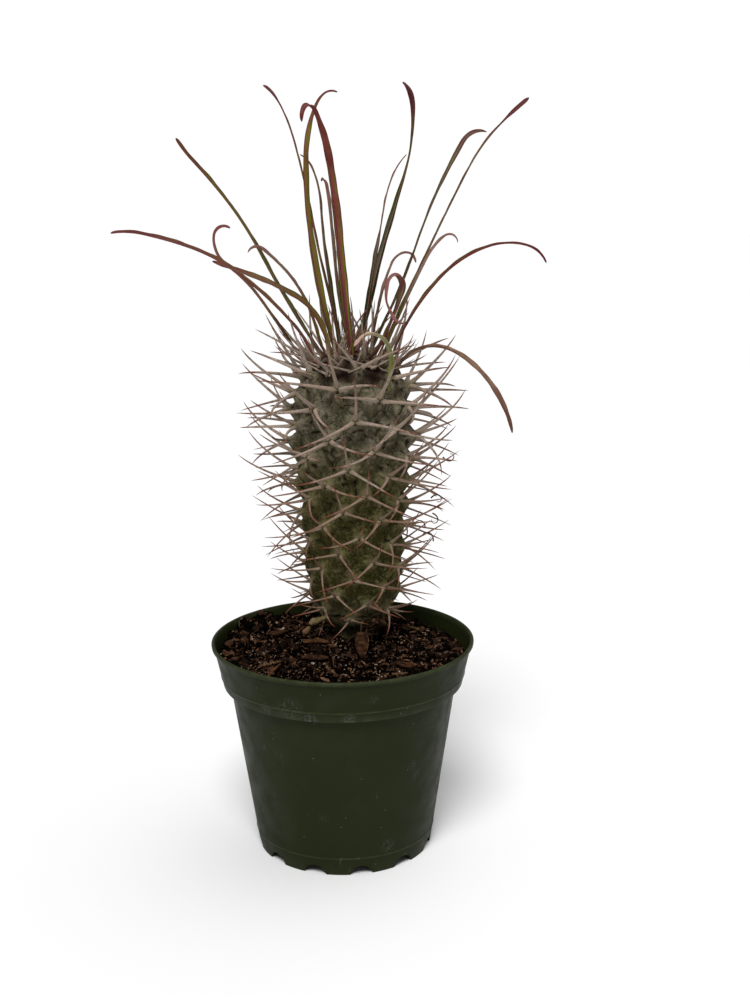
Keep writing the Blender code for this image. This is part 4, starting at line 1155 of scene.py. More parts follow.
def strew(heap, draw, count, sizes, shape_of, tones, rounds=1, sunk=0.25, tilt=0.6, at=soil_place):
    """Strews crumbs: sizes is the range of their half length, tones the range of their colour."""
    ball, faces = lump_shape(rounds)
    for _ in range(count):
        size = sizes[0] + (sizes[1] - sizes[0]) * draw.random() ** 1.8
        x, y = at(draw, size)
        wobble = np.array([[1.0 + draw.uniform(-0.28, 0.28)] for _ in ball])
        stretch = np.array([draw.uniform(low, high) for low, high in shape_of]) * size
        points = (ball * wobble * stretch) @ turned_at_random(draw, tilt).T
        lift = ground(x, y) - sunk * size + draw.uniform(0.0, 0.5) * size
        tone = draw.uniform(*tones)
        heap.add(points + np.array((x, y, lift)), faces, tone=tone)


# Bits strewn on the soil: how many, their half lengths, shapes and tones, and how they lie
CRUMBS = (
    (3900, (0.0006, 0.0022), ((0.8, 1.2), (0.55, 0.9), (0.45, 0.8)), (0.05, 0.62), {}),
    (1700, (0.0004, 0.0014), ((0.8, 1.2), (0.5, 0.9), (0.4, 0.8)), (0.60, 0.88), {}),
    (460, (0.0003, 0.0008), ((0.8, 1.1), (0.7, 1.0), (0.6, 0.9)), (0.88, 1.0), {}),
)
CLODS = (
    (420, (0.0018, 0.0040), ((0.8, 1.2), (0.6, 0.9), (0.5, 0.8)), (0.15, 0.60), dict(rounds=2, sunk=0.5)),
    (340, (0.0010, 0.0036), ((0.8, 1.2), (0.5, 0.9), (0.4, 0.8)), (0.20, 0.72),
     dict(rounds=2, sunk=0.0, at=wall_place)),
)
FLAKES = (
    (560, (0.0015, 0.0044), ((0.9, 1.2), (0.22, 0.45), (0.12, 0.28)), (0.40, 0.78), dict(tilt=0.9)),
    (190, (0.0012, 0.0038), ((0.9, 1.2), (0.16, 0.32), (0.10, 0.20)), (0.74, 0.90), dict(tilt=0.9)),
)
GRIT = ((40, (0.0005, 0.0010), ((0.8, 1.1), (0.7, 1.0), (0.6, 0.9)), (1.0, 1.0), dict(rounds=2)),)


def make_crumbs():
    """Strews each kind of bit, one piece for a kind."""
    draw = random.Random(SOIL_SEED)
    for name, look, sharp_deg, lots in (
        ("soil_crumbs", crumb_look, 40, CRUMBS),
        ("soil_clods", crumb_look, 30, CLODS),
        ("soil_flakes", crumb_look, 40, FLAKES),
        ("soil_grit", grit_look, None, GRIT),
    ):
        heap = Heap("tone")
        for count, sizes, shape_of, tones, settings in lots:
            strew(heap, draw, count, sizes, shape_of, tones, **settings)
        heap.add_piece(name, look(), "soil", sharp_deg=sharp_deg)


def make_fibres():
    """Fine curved fibres of root and coir lying on the soil."""
    draw = random.Random(SOIL_SEED + 1)
    heap = Heap("tone")
    for _ in range(FIBRE_COUNT):
        x, y = soil_place(draw, 0.004)
        heading = draw.uniform(0.0, math.tau)
        step = draw.uniform(*FIBRE_LENGTH) / (FIBRE_RINGS - 1)
        bend = draw.uniform(-FIBRE_BEND, FIBRE_BEND)
        path = []
        for t in np.linspace(0.0, 1.0, FIBRE_RINGS):
            heading += bend / (FIBRE_RINGS - 1)
            x += step * math.cos(heading)
            y += step * math.sin(heading)
            reach = math.hypot(x, y)
            limit = inner_radius(SOIL_WALL_Z) - 4 * GAP
            if reach > limit:
                x *= limit / reach
                y *= limit / reach
            lift = FIBRE_LIFT[0] + FIBRE_LIFT[1] * math.sin(math.pi * t) * draw.random()
            path.append((x, y, ground(x, y) + lift))
        radius = draw.uniform(*FIBRE_RADIUS)
        radii = [radius * (1.0 - 0.5 * t) for t in np.linspace(0.0, 1.0, FIBRE_RINGS)]
        points = tube_points(path, radii, FIBRE_SIDES)
        heap.add(points, tube_faces(FIBRE_RINGS, FIBRE_SIDES), tone=draw.uniform(0.55, 0.95))
    heap.add_piece("soil_fibres", crumb_look(), "soil")


# Stem

def profile_radius(z):
    heights = [height for _, height in STEM_PROFILE] + [CROWN_Z]
    radii = [radius for radius, _ in STEM_PROFILE] + [0.0]
    return np.interp(z, heights, radii)


def crown_height(radius):
    """Height of the crown's surface between tubercles, at a distance from the axis."""
    crown = [(r, z) for r, z in STEM_PROFILE if z > CROWN_FROM_Z]
    return interpolate(radius, crown + [(0.0, CROWN_Z)])


def profile_normal(z):
    """Outward direction of the profile at each height, as (out, up)."""
    z = np.asarray(z, float)
    across = profile_radius(z + NORMAL_STEP) - profile_radius(z - NORMAL_STEP)
    length = np.hypot(across, 2 * NORMAL_STEP)
    flat = z > CROWN_Z - 2 * NORMAL_STEP
    return np.where(flat, 0.0, 2 * NORMAL_STEP / length), np.where(flat, 1.0, -across / length)


def areoles():
    """Each areole's angle in radians and its height, from the crown down."""
    found = []
    for number in range(FIRST_AREOLE, LAST_AREOLE + 1):
        angle = math.radians(SPIRAL_START_DEG + SPIRAL_TURN_DEG * number)
        if number < 0:
            share = (number - FIRST_AREOLE + CROWN_SPIRAL_START) / -FIRST_AREOLE
            z = crown_height(CROWN_SPIRAL_RADIUS * math.sqrt(share))
        else:
            z = interpolate(number, AREOLE_HEIGHT)
        found.append((angle % math.tau, z))
    return found


def tubercles(angle, z, places):
    """For places on the stem: how far the skin stands out, and how far across and up they lie from
    the areole whose tubercle they are on."""
    angle = np.asarray(angle, float)
    z = np.asarray(z, float)
    radius = profile_radius(z)
    best = np.zeros_like(z)
    side = np.full_like(z, TUBERCLE_REACH)
    up = np.full_like(z, TUBERCLE_REACH)
    for other_angle, other_z in places:
        drop = z - other_z
        turn = (angle - other_angle + math.pi) % math.tau - math.pi
        across = turn * (radius + profile_radius(other_z)) / 2
        along = np.where(drop > 0, drop, drop / TUBERCLE_TAIL)
        away = np.hypot(across, along) / TUBERCLE_REACH
        height = interpolate(other_z, TUBERCLE_HEIGHT) * np.clip(1.0 - away, 0.0, 1.0) ** TUBERCLE_EDGE
        wins = height > best
        best = np.where(wins, height, best)
        side = np.where(wins, across, side)
        up = np.where(wins, drop, up)
    return best, side, up


def stem_points(angle, z, rise):
    """Points of the skin at arrays of places, standing out by rise."""
    out, up = profile_normal(z)
    radius = profile_radius(z) + out * rise
    return np.stack([STEM_X + radius * np.cos(angle), STEM_Y + radius * np.sin(angle), z + up * rise], -1)


def stem_rows(step):
    """Heights of rows of points, evenly spaced along the stem's profile."""
    lengths = [0.0]
    for (r0, z0), (r1, z1) in zip(STEM_PROFILE, STEM_PROFILE[1:]):
        lengths.append(lengths[-1] + math.hypot(r1 - r0, z1 - z0))
    heights = [z for _, z in STEM_PROFILE]
    count = round(lengths[-1] / step)
    return np.array([np.interp(lengths[-1] * i / count, lengths, heights) for i in range(count + 1)])


def stem_mesh(name, places, columns, row_step, relief_of=None):
    """The stem's skin as a closed mesh, with its foot in the soil. Gives the mesh, and what
    relief_of found for each of its rows."""
    rows = stem_rows(row_step)
    angles = math.tau * np.arange(columns) / columns
    angle, z = np.meshgrid(angles, rows)
    rise, side, up = tubercles(angle, z, places)
    found = {}
    if relief_of:
        relief, found = relief_of(stem_points(angle, z, rise), z, rise, side, up)
        rise = rise + relief
    body = stem_points(angle, z, rise).reshape(-1, 3)
    foot = []
    for height in (STEM_BOTTOM_Z, STEM_PLUG_TOP_Z):
        across = STEM_X + STEM_PLUG_RADIUS * np.cos(angles)
        back = STEM_Y + STEM_PLUG_RADIUS * np.sin(angles)
        foot.append(np.stack([across, back, np.full(columns, height)], -1))
    points = np.vstack([*foot, body, [(STEM_X, STEM_Y, STEM_BOTTOM_Z), (STEM_X, STEM_Y, CROWN_Z)]])
    faces = []
    for corner, *others in poled_faces(len(rows) + 2, columns, 0, len(points) - 2, len(points) - 1):
        faces += [(corner, *pair) for pair in zip(others, others[1:])]
    return new_mesh(name, points, faces), found


def blurred(field, reach):
    """Mean of a field of rows and columns over a square that far each way; columns go round."""
    wide = np.pad(field, ((reach, reach), (0, 0)), mode="edge")
    wide = np.pad(wide, ((0, 0), (reach, reach)), mode="wrap")
    total = np.pad(wide, ((1, 0), (1, 0))).cumsum(0).cumsum(1)
    size = 2 * reach + 1
    total = total[size:] - total[:-size]
    return (total[:, size:] - total[:, :-size]) / size**2


def cushions(places):
    """For places in a pattern of rounded cells: how domed the skin is there, and how deep in a groove."""
    dome = np.empty(len(places))
    groove = np.empty(len(places))
    for number, place in enumerate(places):
        near, second = noise.voronoi(Vector(place))[0][:2]
        dome[number] = 1.0 - near
        groove[number] = math.exp(-(((second - near) / GROOVE_WIDTH) ** 2))
    return dome, groove


def skin_relief(points, z, rise, side, up):
    """How the fine skin differs from the plain tubercles, in metres, and what its material needs."""
    flat = points.reshape(-1, 3)

    def lumps(size, stretch=(1.0, 1.0, 1.0)):
        return noise_at(flat, size, stretch).reshape(z.shape)

    upper = smooth_step(z, SKIN_LOWER_Z, SKIN_UPPER_Z)
    base = 1.0 - smooth_step(z, SKIN_BASE_Z, SKIN_BASE_TOP_Z)
    away = np.hypot(side, up)
    near = hump(away, SKIN_NEAR)
    drawn_out = np.hypot(side, np.where(up > 0, up, up / 1.9))
    crown = smooth_step(z + 0.0025 * lumps(0.006), *SKIN_CROWN_Z)
    aim = np.stack([side, up, np.zeros_like(z)], -1) / np.maximum(away, 1e-5)[..., None]
    rays = noise_at((points / 0.012 + aim * 1.4).reshape(-1, 3), 1.0).reshape(z.shape)
    rays = (1.0 - 2.6 * np.abs(rays)) * hump(away, 0.0062) * (1.0 - near)
    folds = 1.0 - 2.0 * np.abs(lumps(0.0058, (1.0, 1.0, 1.5)))
    warp = np.stack([lumps(0.0062 + 0.0004 * axis) for axis in range(3)], -1) * CUSHION_WARP
    dome, groove = cushions((points + warp).reshape(-1, 3) / CUSHION_SIZE)
    dome = dome.reshape(z.shape)
    groove = groove.reshape(z.shape) * smooth_step(lumps(0.0095) + lumps(0.0040), -0.10, 0.40)
    level = np.cos((z + 0.0022 * lumps(0.012)) / BASE_LINE_GAP * math.tau)
    level *= smooth_step(lumps(0.0095), -0.3, 0.3)
    relief = rays * (0.00030 + 0.00035 * upper) + folds * (0.00026 + 0.00018 * upper)
    relief += lumps(0.0100) * 0.0010 + lumps(0.0026) * 0.0002 + dome * (0.0008 + 0.0005 * upper)
    relief -= groove * (0.00035 + 0.0006 * upper)
    relief = relief * (1.0 - 0.5 * crown) + level * base * 0.0008 + crown * lumps(0.0040) * 0.0010
    # shade, kept as relief: how far each point stands above or below its neighbours, for painted shade and
    # highlight.
    shade = np.clip(0.5 + (relief - blurred(relief, 4)) / SHADE_DEPTH, 0.0, 1.0)
    dips = 2.0 - hump(drawn_out, 0.0032) - hump(drawn_out, 0.0078)
    sink = -(0.0011 + 0.0006 * upper) * dips
    eased = (blurred(rise + sink, 4) - rise - sink) * (1.0 - hump(away, 0.0052))
    relief = (relief + eased) * (1.0 - 0.85 * near) + 0.0003 * near * (1.0 - crown) + sink
    whole = rise + relief
    # height, kept as level: how far each point stands above or below the skin round it, for painted shade and
    # highlight.
    height = np.clip(0.5 + (blurred(whole, 2) - blurred(blurred(whole, 9), 9)) / LEVEL_SHADE_DEPTH, 0.0, 1.0)
    felt = hump(away, FELT_REACH) * (1.0 - 0.5 * crown)
    moss = np.exp(-((side / 0.0032) ** 2) - ((up + 0.0058) / 0.0034) ** 2) * (1.0 - crown)
    spot = np.zeros_like(z)
    for degrees, height_z in SPOTS:
        centre = stem_points(np.array(math.radians(degrees)), np.array(height_z), 0.003)
        spot = np.maximum(spot, hump(np.linalg.norm(points - centre, axis=-1), SPOT_RADIUS))
    # The crown is painted dark, partly as its bark and partly as shade, but not round each areole.
    crown = crown * (1.0 - 0.9 * hump(away, 0.0046))
    found = {"relief": shade, "level": height, "felt": felt, "moss": moss, "spot": spot, "crown": crown,
             "side": side, "up": up}
    return relief, found


def surface_of(mesh):
    return BVHTree.FromPolygons(
        [vertex.co for vertex in mesh.vertices],
        [face.vertices[:] for face in mesh.polygons],
    )


def make_skin(places):
    mesh, found = stem_mesh("stem_skin", places, SKIN_COLUMNS, SKIN_ROW_STEP, skin_relief)
    for name, field in found.items():
        foot = np.full(2 * SKIN_COLUMNS, 0.5 if name == "relief" else 0.0)
        ends = [foot[0], float(name == "crown")]
        set_value(mesh, name, np.concatenate([foot, field.ravel(), ends]))
    add_piece("stem_skin", mesh, skin_look(), "stem_skin", ["stem"])


# Spines

def areole_point(angle, z, places):
    rise = tubercles(angle, z, places)[0]
    return Vector(stem_points(angle, z, rise))


def spine_path(root, direction, out, length):
    """Root, middle and tip of a spine that bows a little towards the outward direction."""
    start = root - out * SPINE_SUNK
    tip = root + direction * length
    middle = (start + tip) / 2 + out * SPINE_BOW * length
    return start, middle, tip


def spine_is_clear(path, radius, obstacles):
    """True where a spine keeps off the soil, the pot, every leaf and every bit of bark."""
    start, middle, tip = path
    samples = []
    for i in range(1, SPINE_SAMPLES + 1):
        t = i / SPINE_SAMPLES
        samples.append(bowed(start, middle, tip, t))
        samples.append(start.lerp(middle, t))
        samples.append(middle.lerp(tip, t))
    rim = inner_radius(POT_HEIGHT - LIP_DEPTH)
    for point in samples:
        from_axis = math.hypot(point.x, point.y)
        if from_axis > rim - SPINE_OFF_RIM and point.z < POT_HEIGHT + SPINE_OFF_RIM:
            return False
        if from_axis < rim and point.z < soil_height(point.x, point.y) + radius + SPINE_OFF_SOIL:
            return False
    cloud = np.array(samples)
    for line, half_width in obstacles:
        apart = np.linalg.norm(cloud[:, None] - line[None], axis=2).min()
        if apart < half_width + radius + SPINE_OFF_LEAF:
            return False
    return True


def spine_directions(angle, z, draw):
    """Outward direction, and for each spine its place round the areole and where it points."""
    out_part, up_part = (float(part) for part in profile_normal(z))
    around = level_way(angle)
    side = Vector((-math.sin(angle), math.cos(angle), 0.0))
    out = around * out_part + UP * up_part
    up = UP * out_part - around * up_part
    roll = math.radians(draw.gauss(0.0, SPINE_ROLL_DEG))
    found = []
    for turn, rise in zip(SPINE_TURNS_DEG, SPINE_RISES_DEG):
        rise += (SPINE_CROWN_RISE_DEG - rise) * up_part**2
        rise = math.radians(rise + draw.uniform(-SPINE_SPREAD_DEG, SPINE_SPREAD_DEG))
        turn = math.radians(turn + draw.uniform(-SPINE_SPREAD_DEG, SPINE_SPREAD_DEG)) + roll
        flat = up * math.cos(turn) + side * math.sin(turn)
        found.append((flat, flat * math.cos(rise) + out * math.sin(rise)))
    return out, found


def all_spines(places, obstacles):
    """Path, root radius, outward direction and place round its areole of every spine."""
    draw = random.Random(SPINE_SEED)
    spines = []
    for angle, z in places:
        areole = areole_point(angle, z, places)
        out, directions = spine_directions(angle, z, draw)
        radius = interpolate(z, SPINE_RADIUS)
        for flat, direction in directions:
            root = areole + flat * SPINE_APART
            spread = draw.uniform(-SPINE_LENGTH_SPREAD, SPINE_LENGTH_SPREAD)
            length = interpolate(z, SPINE_LENGTH) * (1.0 + spread)
            for _ in range(SPINE_TRIES):
                path = spine_path(root, direction, out, length)
                if spine_is_clear(path, radius, obstacles):
                    spines.append((path, radius, out, flat, areole))
                    break
                aside = Vector((draw.uniform(-1.0, 1.0), draw.uniform(-1.0, 1.0), draw.uniform(-0.5, 1.0)))
                direction = (direction + aside * SPINE_DODGE).normalized()
                if direction.dot(out) < SPINE_LEAST_SLOPE:
                    direction = (direction + out * 2 * SPINE_LEAST_SLOPE).normalized()
    return spines


def spine_curve(path, steps):
    """Points along a smooth bow through a spine's root, middle and tip, closer at its root."""
    start, middle, tip = path
    knee = middle * 2 - (start + tip) / 2
    shares = np.linspace(0.0, 1.0, steps) ** 1.35
    points = [bowed(start, knee, tip, t) for t in shares]
    return shares, np.array(points)


def make_spines(places, obstacles):
    """The spines: each runs on from the middle of its areole, and tapers to a fine tip."""
    draw = random.Random(SPINE_SEED + 1)
    heap = Heap("along", "tone", "cleft")
    faces = tube_faces(SPINE_RINGS, SPINE_SIDES)
    for path, radius, out, flat, areole in all_spines(places, obstacles):
        start, middle, tip = path
        grow = interpolate(start.z, SPINE_GROW)
        bend = draw.uniform(-0.02, 0.06) * out + draw.uniform(-0.035, 0.035) * out.cross(flat)
        bend *= (tip - start).length
        start = areole + flat * SPINE_ROOT_APART - out * SPINE_ROOT_SUNK
        tip = start + (tip + (tip - middle) * 2 * SPINE_REACH_ON - start) * grow
        middle = start + (middle - start) * grow + bend
        shares, line = spine_curve((start, middle, tip), SPINE_RINGS)
        length = np.linalg.norm(np.diff(line, axis=0), axis=1).sum()
        taper = np.array([interpolate(share, SPINE_TAPER) for share in shares])
        flare = 1.0 + SPINE_FLARE * hump(shares * length, SPINE_FLARE_REACH)
        points = tube_points(line, radius * min(1.0, grow + 0.15) * taper * flare, SPINE_SIDES)
        lower = smooth_step(start.z, 0.27, 0.20)
        tone = float(np.clip(0.10 + 0.65 * lower + draw.uniform(-0.12, 0.25), 0.0, 1.0))
        heap.add(points, faces, along=np.repeat(shares, SPINE_SIDES), tone=tone,
                 cleft=cleft_shade_share(points, areole, out, flat))
    heap.add_piece("stem_spines", spine_look(), "spine", ["stem"])


def make_pads(places):
    """The felted pad in which each areole's spines are rooted, with a lobe towards each of them."""
    draw = random.Random(SPINE_SEED)
    heap = Heap("along", "tone", "cleft")
    angles = math.tau * np.arange(PAD_SIDES) / PAD_SIDES
    faces = poled_faces(PAD_RINGS, PAD_SIDES, 1, 0, 1 + PAD_RINGS * PAD_SIDES)
    for angle, z in places:
        areole = np.array(areole_point(angle, z, places))
        out, directions = spine_directions(angle, z, draw)
        for _ in directions:
            draw.uniform(-1.0, 1.0)
        above = directions[0][0].normalized()
        level = out.cross(above)
        lobes = np.zeros(PAD_SIDES)
        for flat, _ in directions:
            turn = (angles - math.atan2(flat.dot(level), flat.dot(above)) + math.pi) % math.tau - math.pi
            lobes = np.maximum(lobes, hump(turn, PAD_LOBE_WIDTH))
        reach = interpolate(z, SPINE_RADIUS) * (PAD_RADIUS + PAD_LOBE * lobes)
        aim = np.outer(np.cos(angles), np.array(above)) + np.outer(np.sin(angles), np.array(level))
        points = [areole[None] + np.array(out) * PAD_HEIGHT]
        # Painted shade in the middle of the pad and between its lobes.
        cleft = [np.array([0.8])]
        for ring in range(1, PAD_RINGS + 1):
            share = ring / PAD_RINGS
            height = PAD_HEIGHT - (PAD_HEIGHT + PAD_SUNK) * share**1.8 + 0.00035 * lobes * (1.0 - share)
            points.append(areole + aim * (reach * share)[:, None] + np.outer(height, np.array(out)))
            cleft.append((1.0 - lobes) ** 2 * (1.0 - share) ** 0.5 * 0.8)
        points.append(areole[None] - np.array(out) * 2 * PAD_SUNK)
        cleft.append(np.array([0.0]))
        tone = draw.uniform(0.0, 0.3)
        heap.add(np.vstack(points), faces, along=0.0, tone=tone, cleft=np.concatenate(cleft))
    heap.add_piece("areole_pads", spine_look(), "spine")


def make_young_spines(obstacles):
    """Thin young spines that stand among the feet of the leaves."""
    draw = random.Random(SPINE_SEED + 3)
    heap = Heap("along", "tone", "cleft")
    faces = tube_faces(YOUNG_RINGS, YOUNG_SIDES)
    for number in range(YOUNG_AREOLES):
        share = (number + 0.5) / YOUNG_AREOLES
        out = YOUNG_REACH * math.sqrt(share)
        at = math.radians(YOUNG_TURN_DEG * number)
        outer = smooth_step(share, 0.52, 0.72)
        centre = Vector((STEM_X + out * math.cos(at), STEM_Y + out * math.sin(at), crown_height(out)))
        for part in range(3):
            turn = at + math.tau * part / 3
            root = centre + level_way(turn) * YOUNG_APART
            for _ in range(SPINE_TRIES):
                sideways = outer * (1 - part) * draw.uniform(0.6, 1.4)
                lean = math.radians(draw.uniform(3.0, 15.0) + 38.0 * share + 20.0 * abs(sideways))
                compass = at + draw.uniform(-0.9, 0.9) * (1.0 - 0.6 * outer) + sideways
                level = level_way(compass)
                direction = level * math.sin(lean) + UP * math.cos(lean)
                path = spine_path(root, direction, level, draw.uniform(*YOUNG_LENGTH) * (1.0 + 0.5 * outer))
                radius = draw.uniform(*YOUNG_RADIUS) * (1.0 + 0.6 * outer)
                if not spine_is_clear(path, radius, obstacles):
                    continue
                shares, line = spine_curve(path, YOUNG_RINGS)
                taper = np.array([interpolate(share, SPINE_TAPER) for share in shares])
                points = tube_points(line, radius * 1.25 * taper, YOUNG_SIDES)
                tone = draw.uniform(0.35, 1.0) * (1.0 - 0.85 * outer)
                heap.add(points, faces, along=np.repeat(shares, YOUNG_SIDES), tone=tone, cleft=0.0)
                break
    heap.add_piece("young_spines", spine_look(), "spine")


def cleft_shade_share(points, areole, out, flat):
    """How deep in the clefts between neighbouring spines each point of a root lies, as the share of painted
    shade it gets.
    """
    away = points - np.array(areole)
    level = away - np.outer(away @ np.array(out), np.array(out))
    distance = np.linalg.norm(level, axis=1)
    facing = (level @ np.array(flat)) / np.maximum(distance, 1e-6)
    side = 1.0 - smooth_step(facing, 0.55, 0.85)
    near = 1.0 - smooth_step(distance, 0.0016, 0.0030)
    return side * near * 0.85


def make_scars(places):
    """The corky scar under each areole."""
    draw = random.Random(SPINE_SEED + 2)
    heap = Heap("tone")
    ball, faces = lump_shape(2)
    for angle, z in places:
        areole = areole_point(angle, z, places)
        out, _ = spine_directions(angle, z, draw)
        down = (out * UP.dot(out) - UP).normalized()
        side = out.cross(down)
        size = interpolate(z, SPINE_RADIUS) * 0.9
        turn = np.array([side, down, out]).T
        points = (ball * (size * 0.95, size * 0.75, size * 0.55)) @ turn.T
        centre = areole + down * (1.25 * size) + out * (0.1 * size)
        tone = np.clip(0.5 + 0.5 * ball[:, 1] + draw.uniform(-0.3, 0.3), 0.0, 1.0)
        heap.add(points + np.array(centre), faces, tone=tone)
    heap.add_piece("areole_scars", scar_look(), "stem_skin")


# Leaves

def leaf_line(leaf, count, start=0.0):
    """Sections of a leaf from a share of its length to its tip: share, centre, direction, side."""
    at = math.radians(leaf.at)
    base = Vector((
        STEM_X + leaf.out * math.cos(at),
        STEM_Y + leaf.out * math.sin(at),
        crown_height(leaf.out),
    ))
    points = [base]
    frames = []
    for i in range(LEAF_FINE_STEPS + 1):
        share = i / LEAF_FINE_STEPS
        lean = math.radians(float(np.interp(share, LEAF_STATIONS, leaf.leans)))
        compass = math.radians(leaf.compass + float(np.interp(share, LEAF_STATIONS, leaf.veer)))
        ahead = level_way(compass)
        along = ahead * math.sin(lean) + UP * math.cos(lean)
        side = Vector((-math.sin(compass), math.cos(compass), 0.0))
        frames.append((along, side))
    for (before, _), (after, _) in zip(frames, frames[1:]):
        points.append(points[-1] + (before + after) / 2 * (leaf.length / LEAF_FINE_STEPS))
    picked = []
    for i in range(count + 1):
        share = start + (1.0 - start) * leaf_share(i / count)
        place = share * LEAF_FINE_STEPS
        low = min(int(place), LEAF_FINE_STEPS - 1)
        point = points[low].lerp(points[low + 1], place - low)
        along = frames[low][0].lerp(frames[low + 1][0], place - low).normalized()
        side = frames[low][1].lerp(frames[low + 1][1], place - low)
        side = (side - along * side.dot(along)).normalized()
        twist = math.radians(float(np.interp(share, LEAF_STATIONS, leaf.twists)))
        picked.append((share, point, along, Matrix.Rotation(twist, 3, along) @ side))
    return picked


def leaf_share(t):
    """Sections stand closer together towards the tip, where a leaf bends most."""
    return 1.0 - (1.0 - t) ** LEAF_CROWDING


def leaf_width(leaf, share):
    return leaf.width * interpolate(share, LEAF_WIDTHS)


def leaf_section(point, along, side, width):
    """The solid leaf's section: upper left, rib, right, then lower right, rib, left."""
    upper = along.cross(side).normalized()
    half = width / 2
    fold = width * LEAF_FOLD
    return [
        point - side * half + upper * fold,
        point,
        point + side * half + upper * fold,
        point + side * half + upper * (fold - LEAF_THICKNESS),
        point - upper * LEAF_MIDRIB,
        point - side * half + upper * (fold - LEAF_THICKNESS),
    ]


def is_above(corner, skin):
    """True where a point stands a gap above the stem's skin."""
    over = Vector((corner.x, corner.y, CROWN_Z + SPINE_LENGTH[-1][1]))
    hit, _, _, _ = skin.ray_cast(over, -UP)
    return hit is None or corner.z > hit.z + GAP


def leaf_start(leaf, skin):
    """The share of its length at which a leaf comes clear of the crown, where its foot is."""
    for share, point, along, side in leaf_line(leaf, LEAF_SEAT_STEPS):
        foot = leaf_section(point, along, side, leaf_width(leaf, share))
        if all(is_above(corner, skin) for corner in foot):
            return share
    return 0.0


def leaf_lines(skin):
    """Centre lines of the leaves, with half widths, for the spines to keep off."""
    lines = []
    for leaf in LEAVES.values():
        stations = leaf_line(leaf, LEAF_FINE_STEPS, leaf_start(leaf, skin))
        lines.append((np.array([point for _, point, _, _ in stations]), leaf.width / 2))
    return lines


def blade_section(leaf, share, ripple, slim_at):
    """Across, up and face of each point of a leaf's section, right round it. Up is off the rib's top."""
    width = leaf_width(leaf, share) * interpolate(share, slim_at)
    if share > BLADE_TIP_FROM:
        tip = (share - BLADE_TIP_FROM) / (1.0 - BLADE_TIP_FROM)
        width *= math.sqrt(max(0.0, 1.0 - 0.97 * tip**1.5))
    reach = np.linspace(-1.0, 1.0, 2 * BLADE_ACROSS + 1)
    fold = width * LEAF_FOLD * np.abs(reach) ** 1.25
    roll = -0.10 * width * smooth_step(np.abs(reach), 0.72, 1.0)
    top = fold + roll + ripple * np.abs(reach) ** 2 * np.sign(reach)
    slim = min(1.0, width / leaf.width + 0.15)
    body = BLADE_THICKNESS * (1.0 - 0.45 * smooth_step(np.abs(reach), 0.6, 1.0))
    rib = BLADE_RIB * hump(reach, BLADE_RIB_WIDTH)
    below = top - (body + rib) * slim
    across = np.concatenate([reach, reach[::-1]])
    up = np.concatenate([top, below[::-1]])
    under = np.concatenate([np.zeros(len(reach)), np.ones(len(reach))])
    return across, across * width / 2, up, under


def make_blade(name, leaf, look, slot):
    draw = random.Random(name)
    phase = draw.uniform(0.0, math.tau)
    waves = draw.uniform(18.0, 30.0)
    values = {"across": [], "along": [], "under": [], "pink": []}
    points = []
    slim_at = BLADE_SLIM.get(name, FULL)
    tint = TINTS.get(name, Tint())
    for share, point, along, side in leaf_line(leaf, BLADE_CUTS):
        upper = along.cross(side).normalized()
        ripple = BLADE_RIPPLES[0] * math.sin(waves * share + phase)
        ripple += BLADE_RIPPLES[1] * math.sin(2.7 * waves * share)
        across, sideways, up, under = blade_section(leaf, share, ripple, slim_at)
        points.append(np.array(point) + np.outer(sideways, side) + np.outer(up, upper))
        values["across"].append(across)
        values["along"].append(np.full(len(across), share))
        values["under"].append(under)
        values["pink"].append(np.full(len(across), tint.pink * smooth_step(share, 0.25, 0.7)))
    faces = [tuple(reversed(face)) for face in tube_faces(BLADE_CUTS + 1, 2 * (2 * BLADE_ACROSS + 1))]
    mesh = new_mesh("palm_" + name, np.vstack(points), faces)
    for key, parts in values.items():
        set_value(mesh, key, np.concatenate(parts))
    common_red = BLADE_COMMON_RED + draw.uniform(-BLADE_RED_SPREAD, BLADE_RED_SPREAD)
    tint = tint._replace(red=common_red if tint.red is None else tint.red)
    for key in ("red", "pale", "deep", "maroon"):
        set_value(mesh, key, np.full(len(mesh.vertices), getattr(tint, key)))
    add_piece("palm_" + name, mesh, look, slot, [name], sharp_deg=70)


def make_blades():
    green = blade_look()
    dry = dry_blade_look()
    for name, leaf in LEAVES.items():
        if name in DRY_LEAVES:
            make_blade(name, leaf, dry, "dry_leaf")
        else:
            make_blade(name, leaf, green, "leaf_blade")


# Bits on the soil

def seat(x, y, underside):
    """A bit's middle, as low as its underside allows; the underside is points from that middle."""
    z = max(soil_height(x + point.x, y + point.y) - point.z for point in underside)
    return Vector((x, y, z + GAP))


def across_of(size):
    """Evenly spaced places from one side to the other of a bit."""
    return [float(step) for step in np.linspace(-size / 2, size / 2, SEAT_SAMPLES)]


def chip_pose(chip):
    """A chip's middle and its rotation."""
    heading = Matrix.Rotation(math.radians(chip["heading"]), 3, "Z")
    turn = heading @ Matrix.Rotation(math.radians(chip["tilt"]), 3, "Y")
    underside = []
    for along in across_of(chip["length"]):
        for side in across_of(chip["breadth"]):
            underside.append(turn @ Vector((along, side, -chip["thickness"] / 2)))
    return seat(chip["x"], chip["y"], underside), turn


def chip_lines():
    """The chips' middle lines, with half breadths, for the spines to keep off."""
    lines = []
    for chip in CHIPS.values():
        middle, turn = chip_pose(chip)
        reach = np.linspace(-0.5, 0.5, SPINE_SAMPLES) * chip["length"]
        ahead = turn @ Vector((1.0, 0.0, 0.0))
        lines.append((np.array([middle + ahead * step for step in reach]), chip["breadth"] / 2))
    return lines


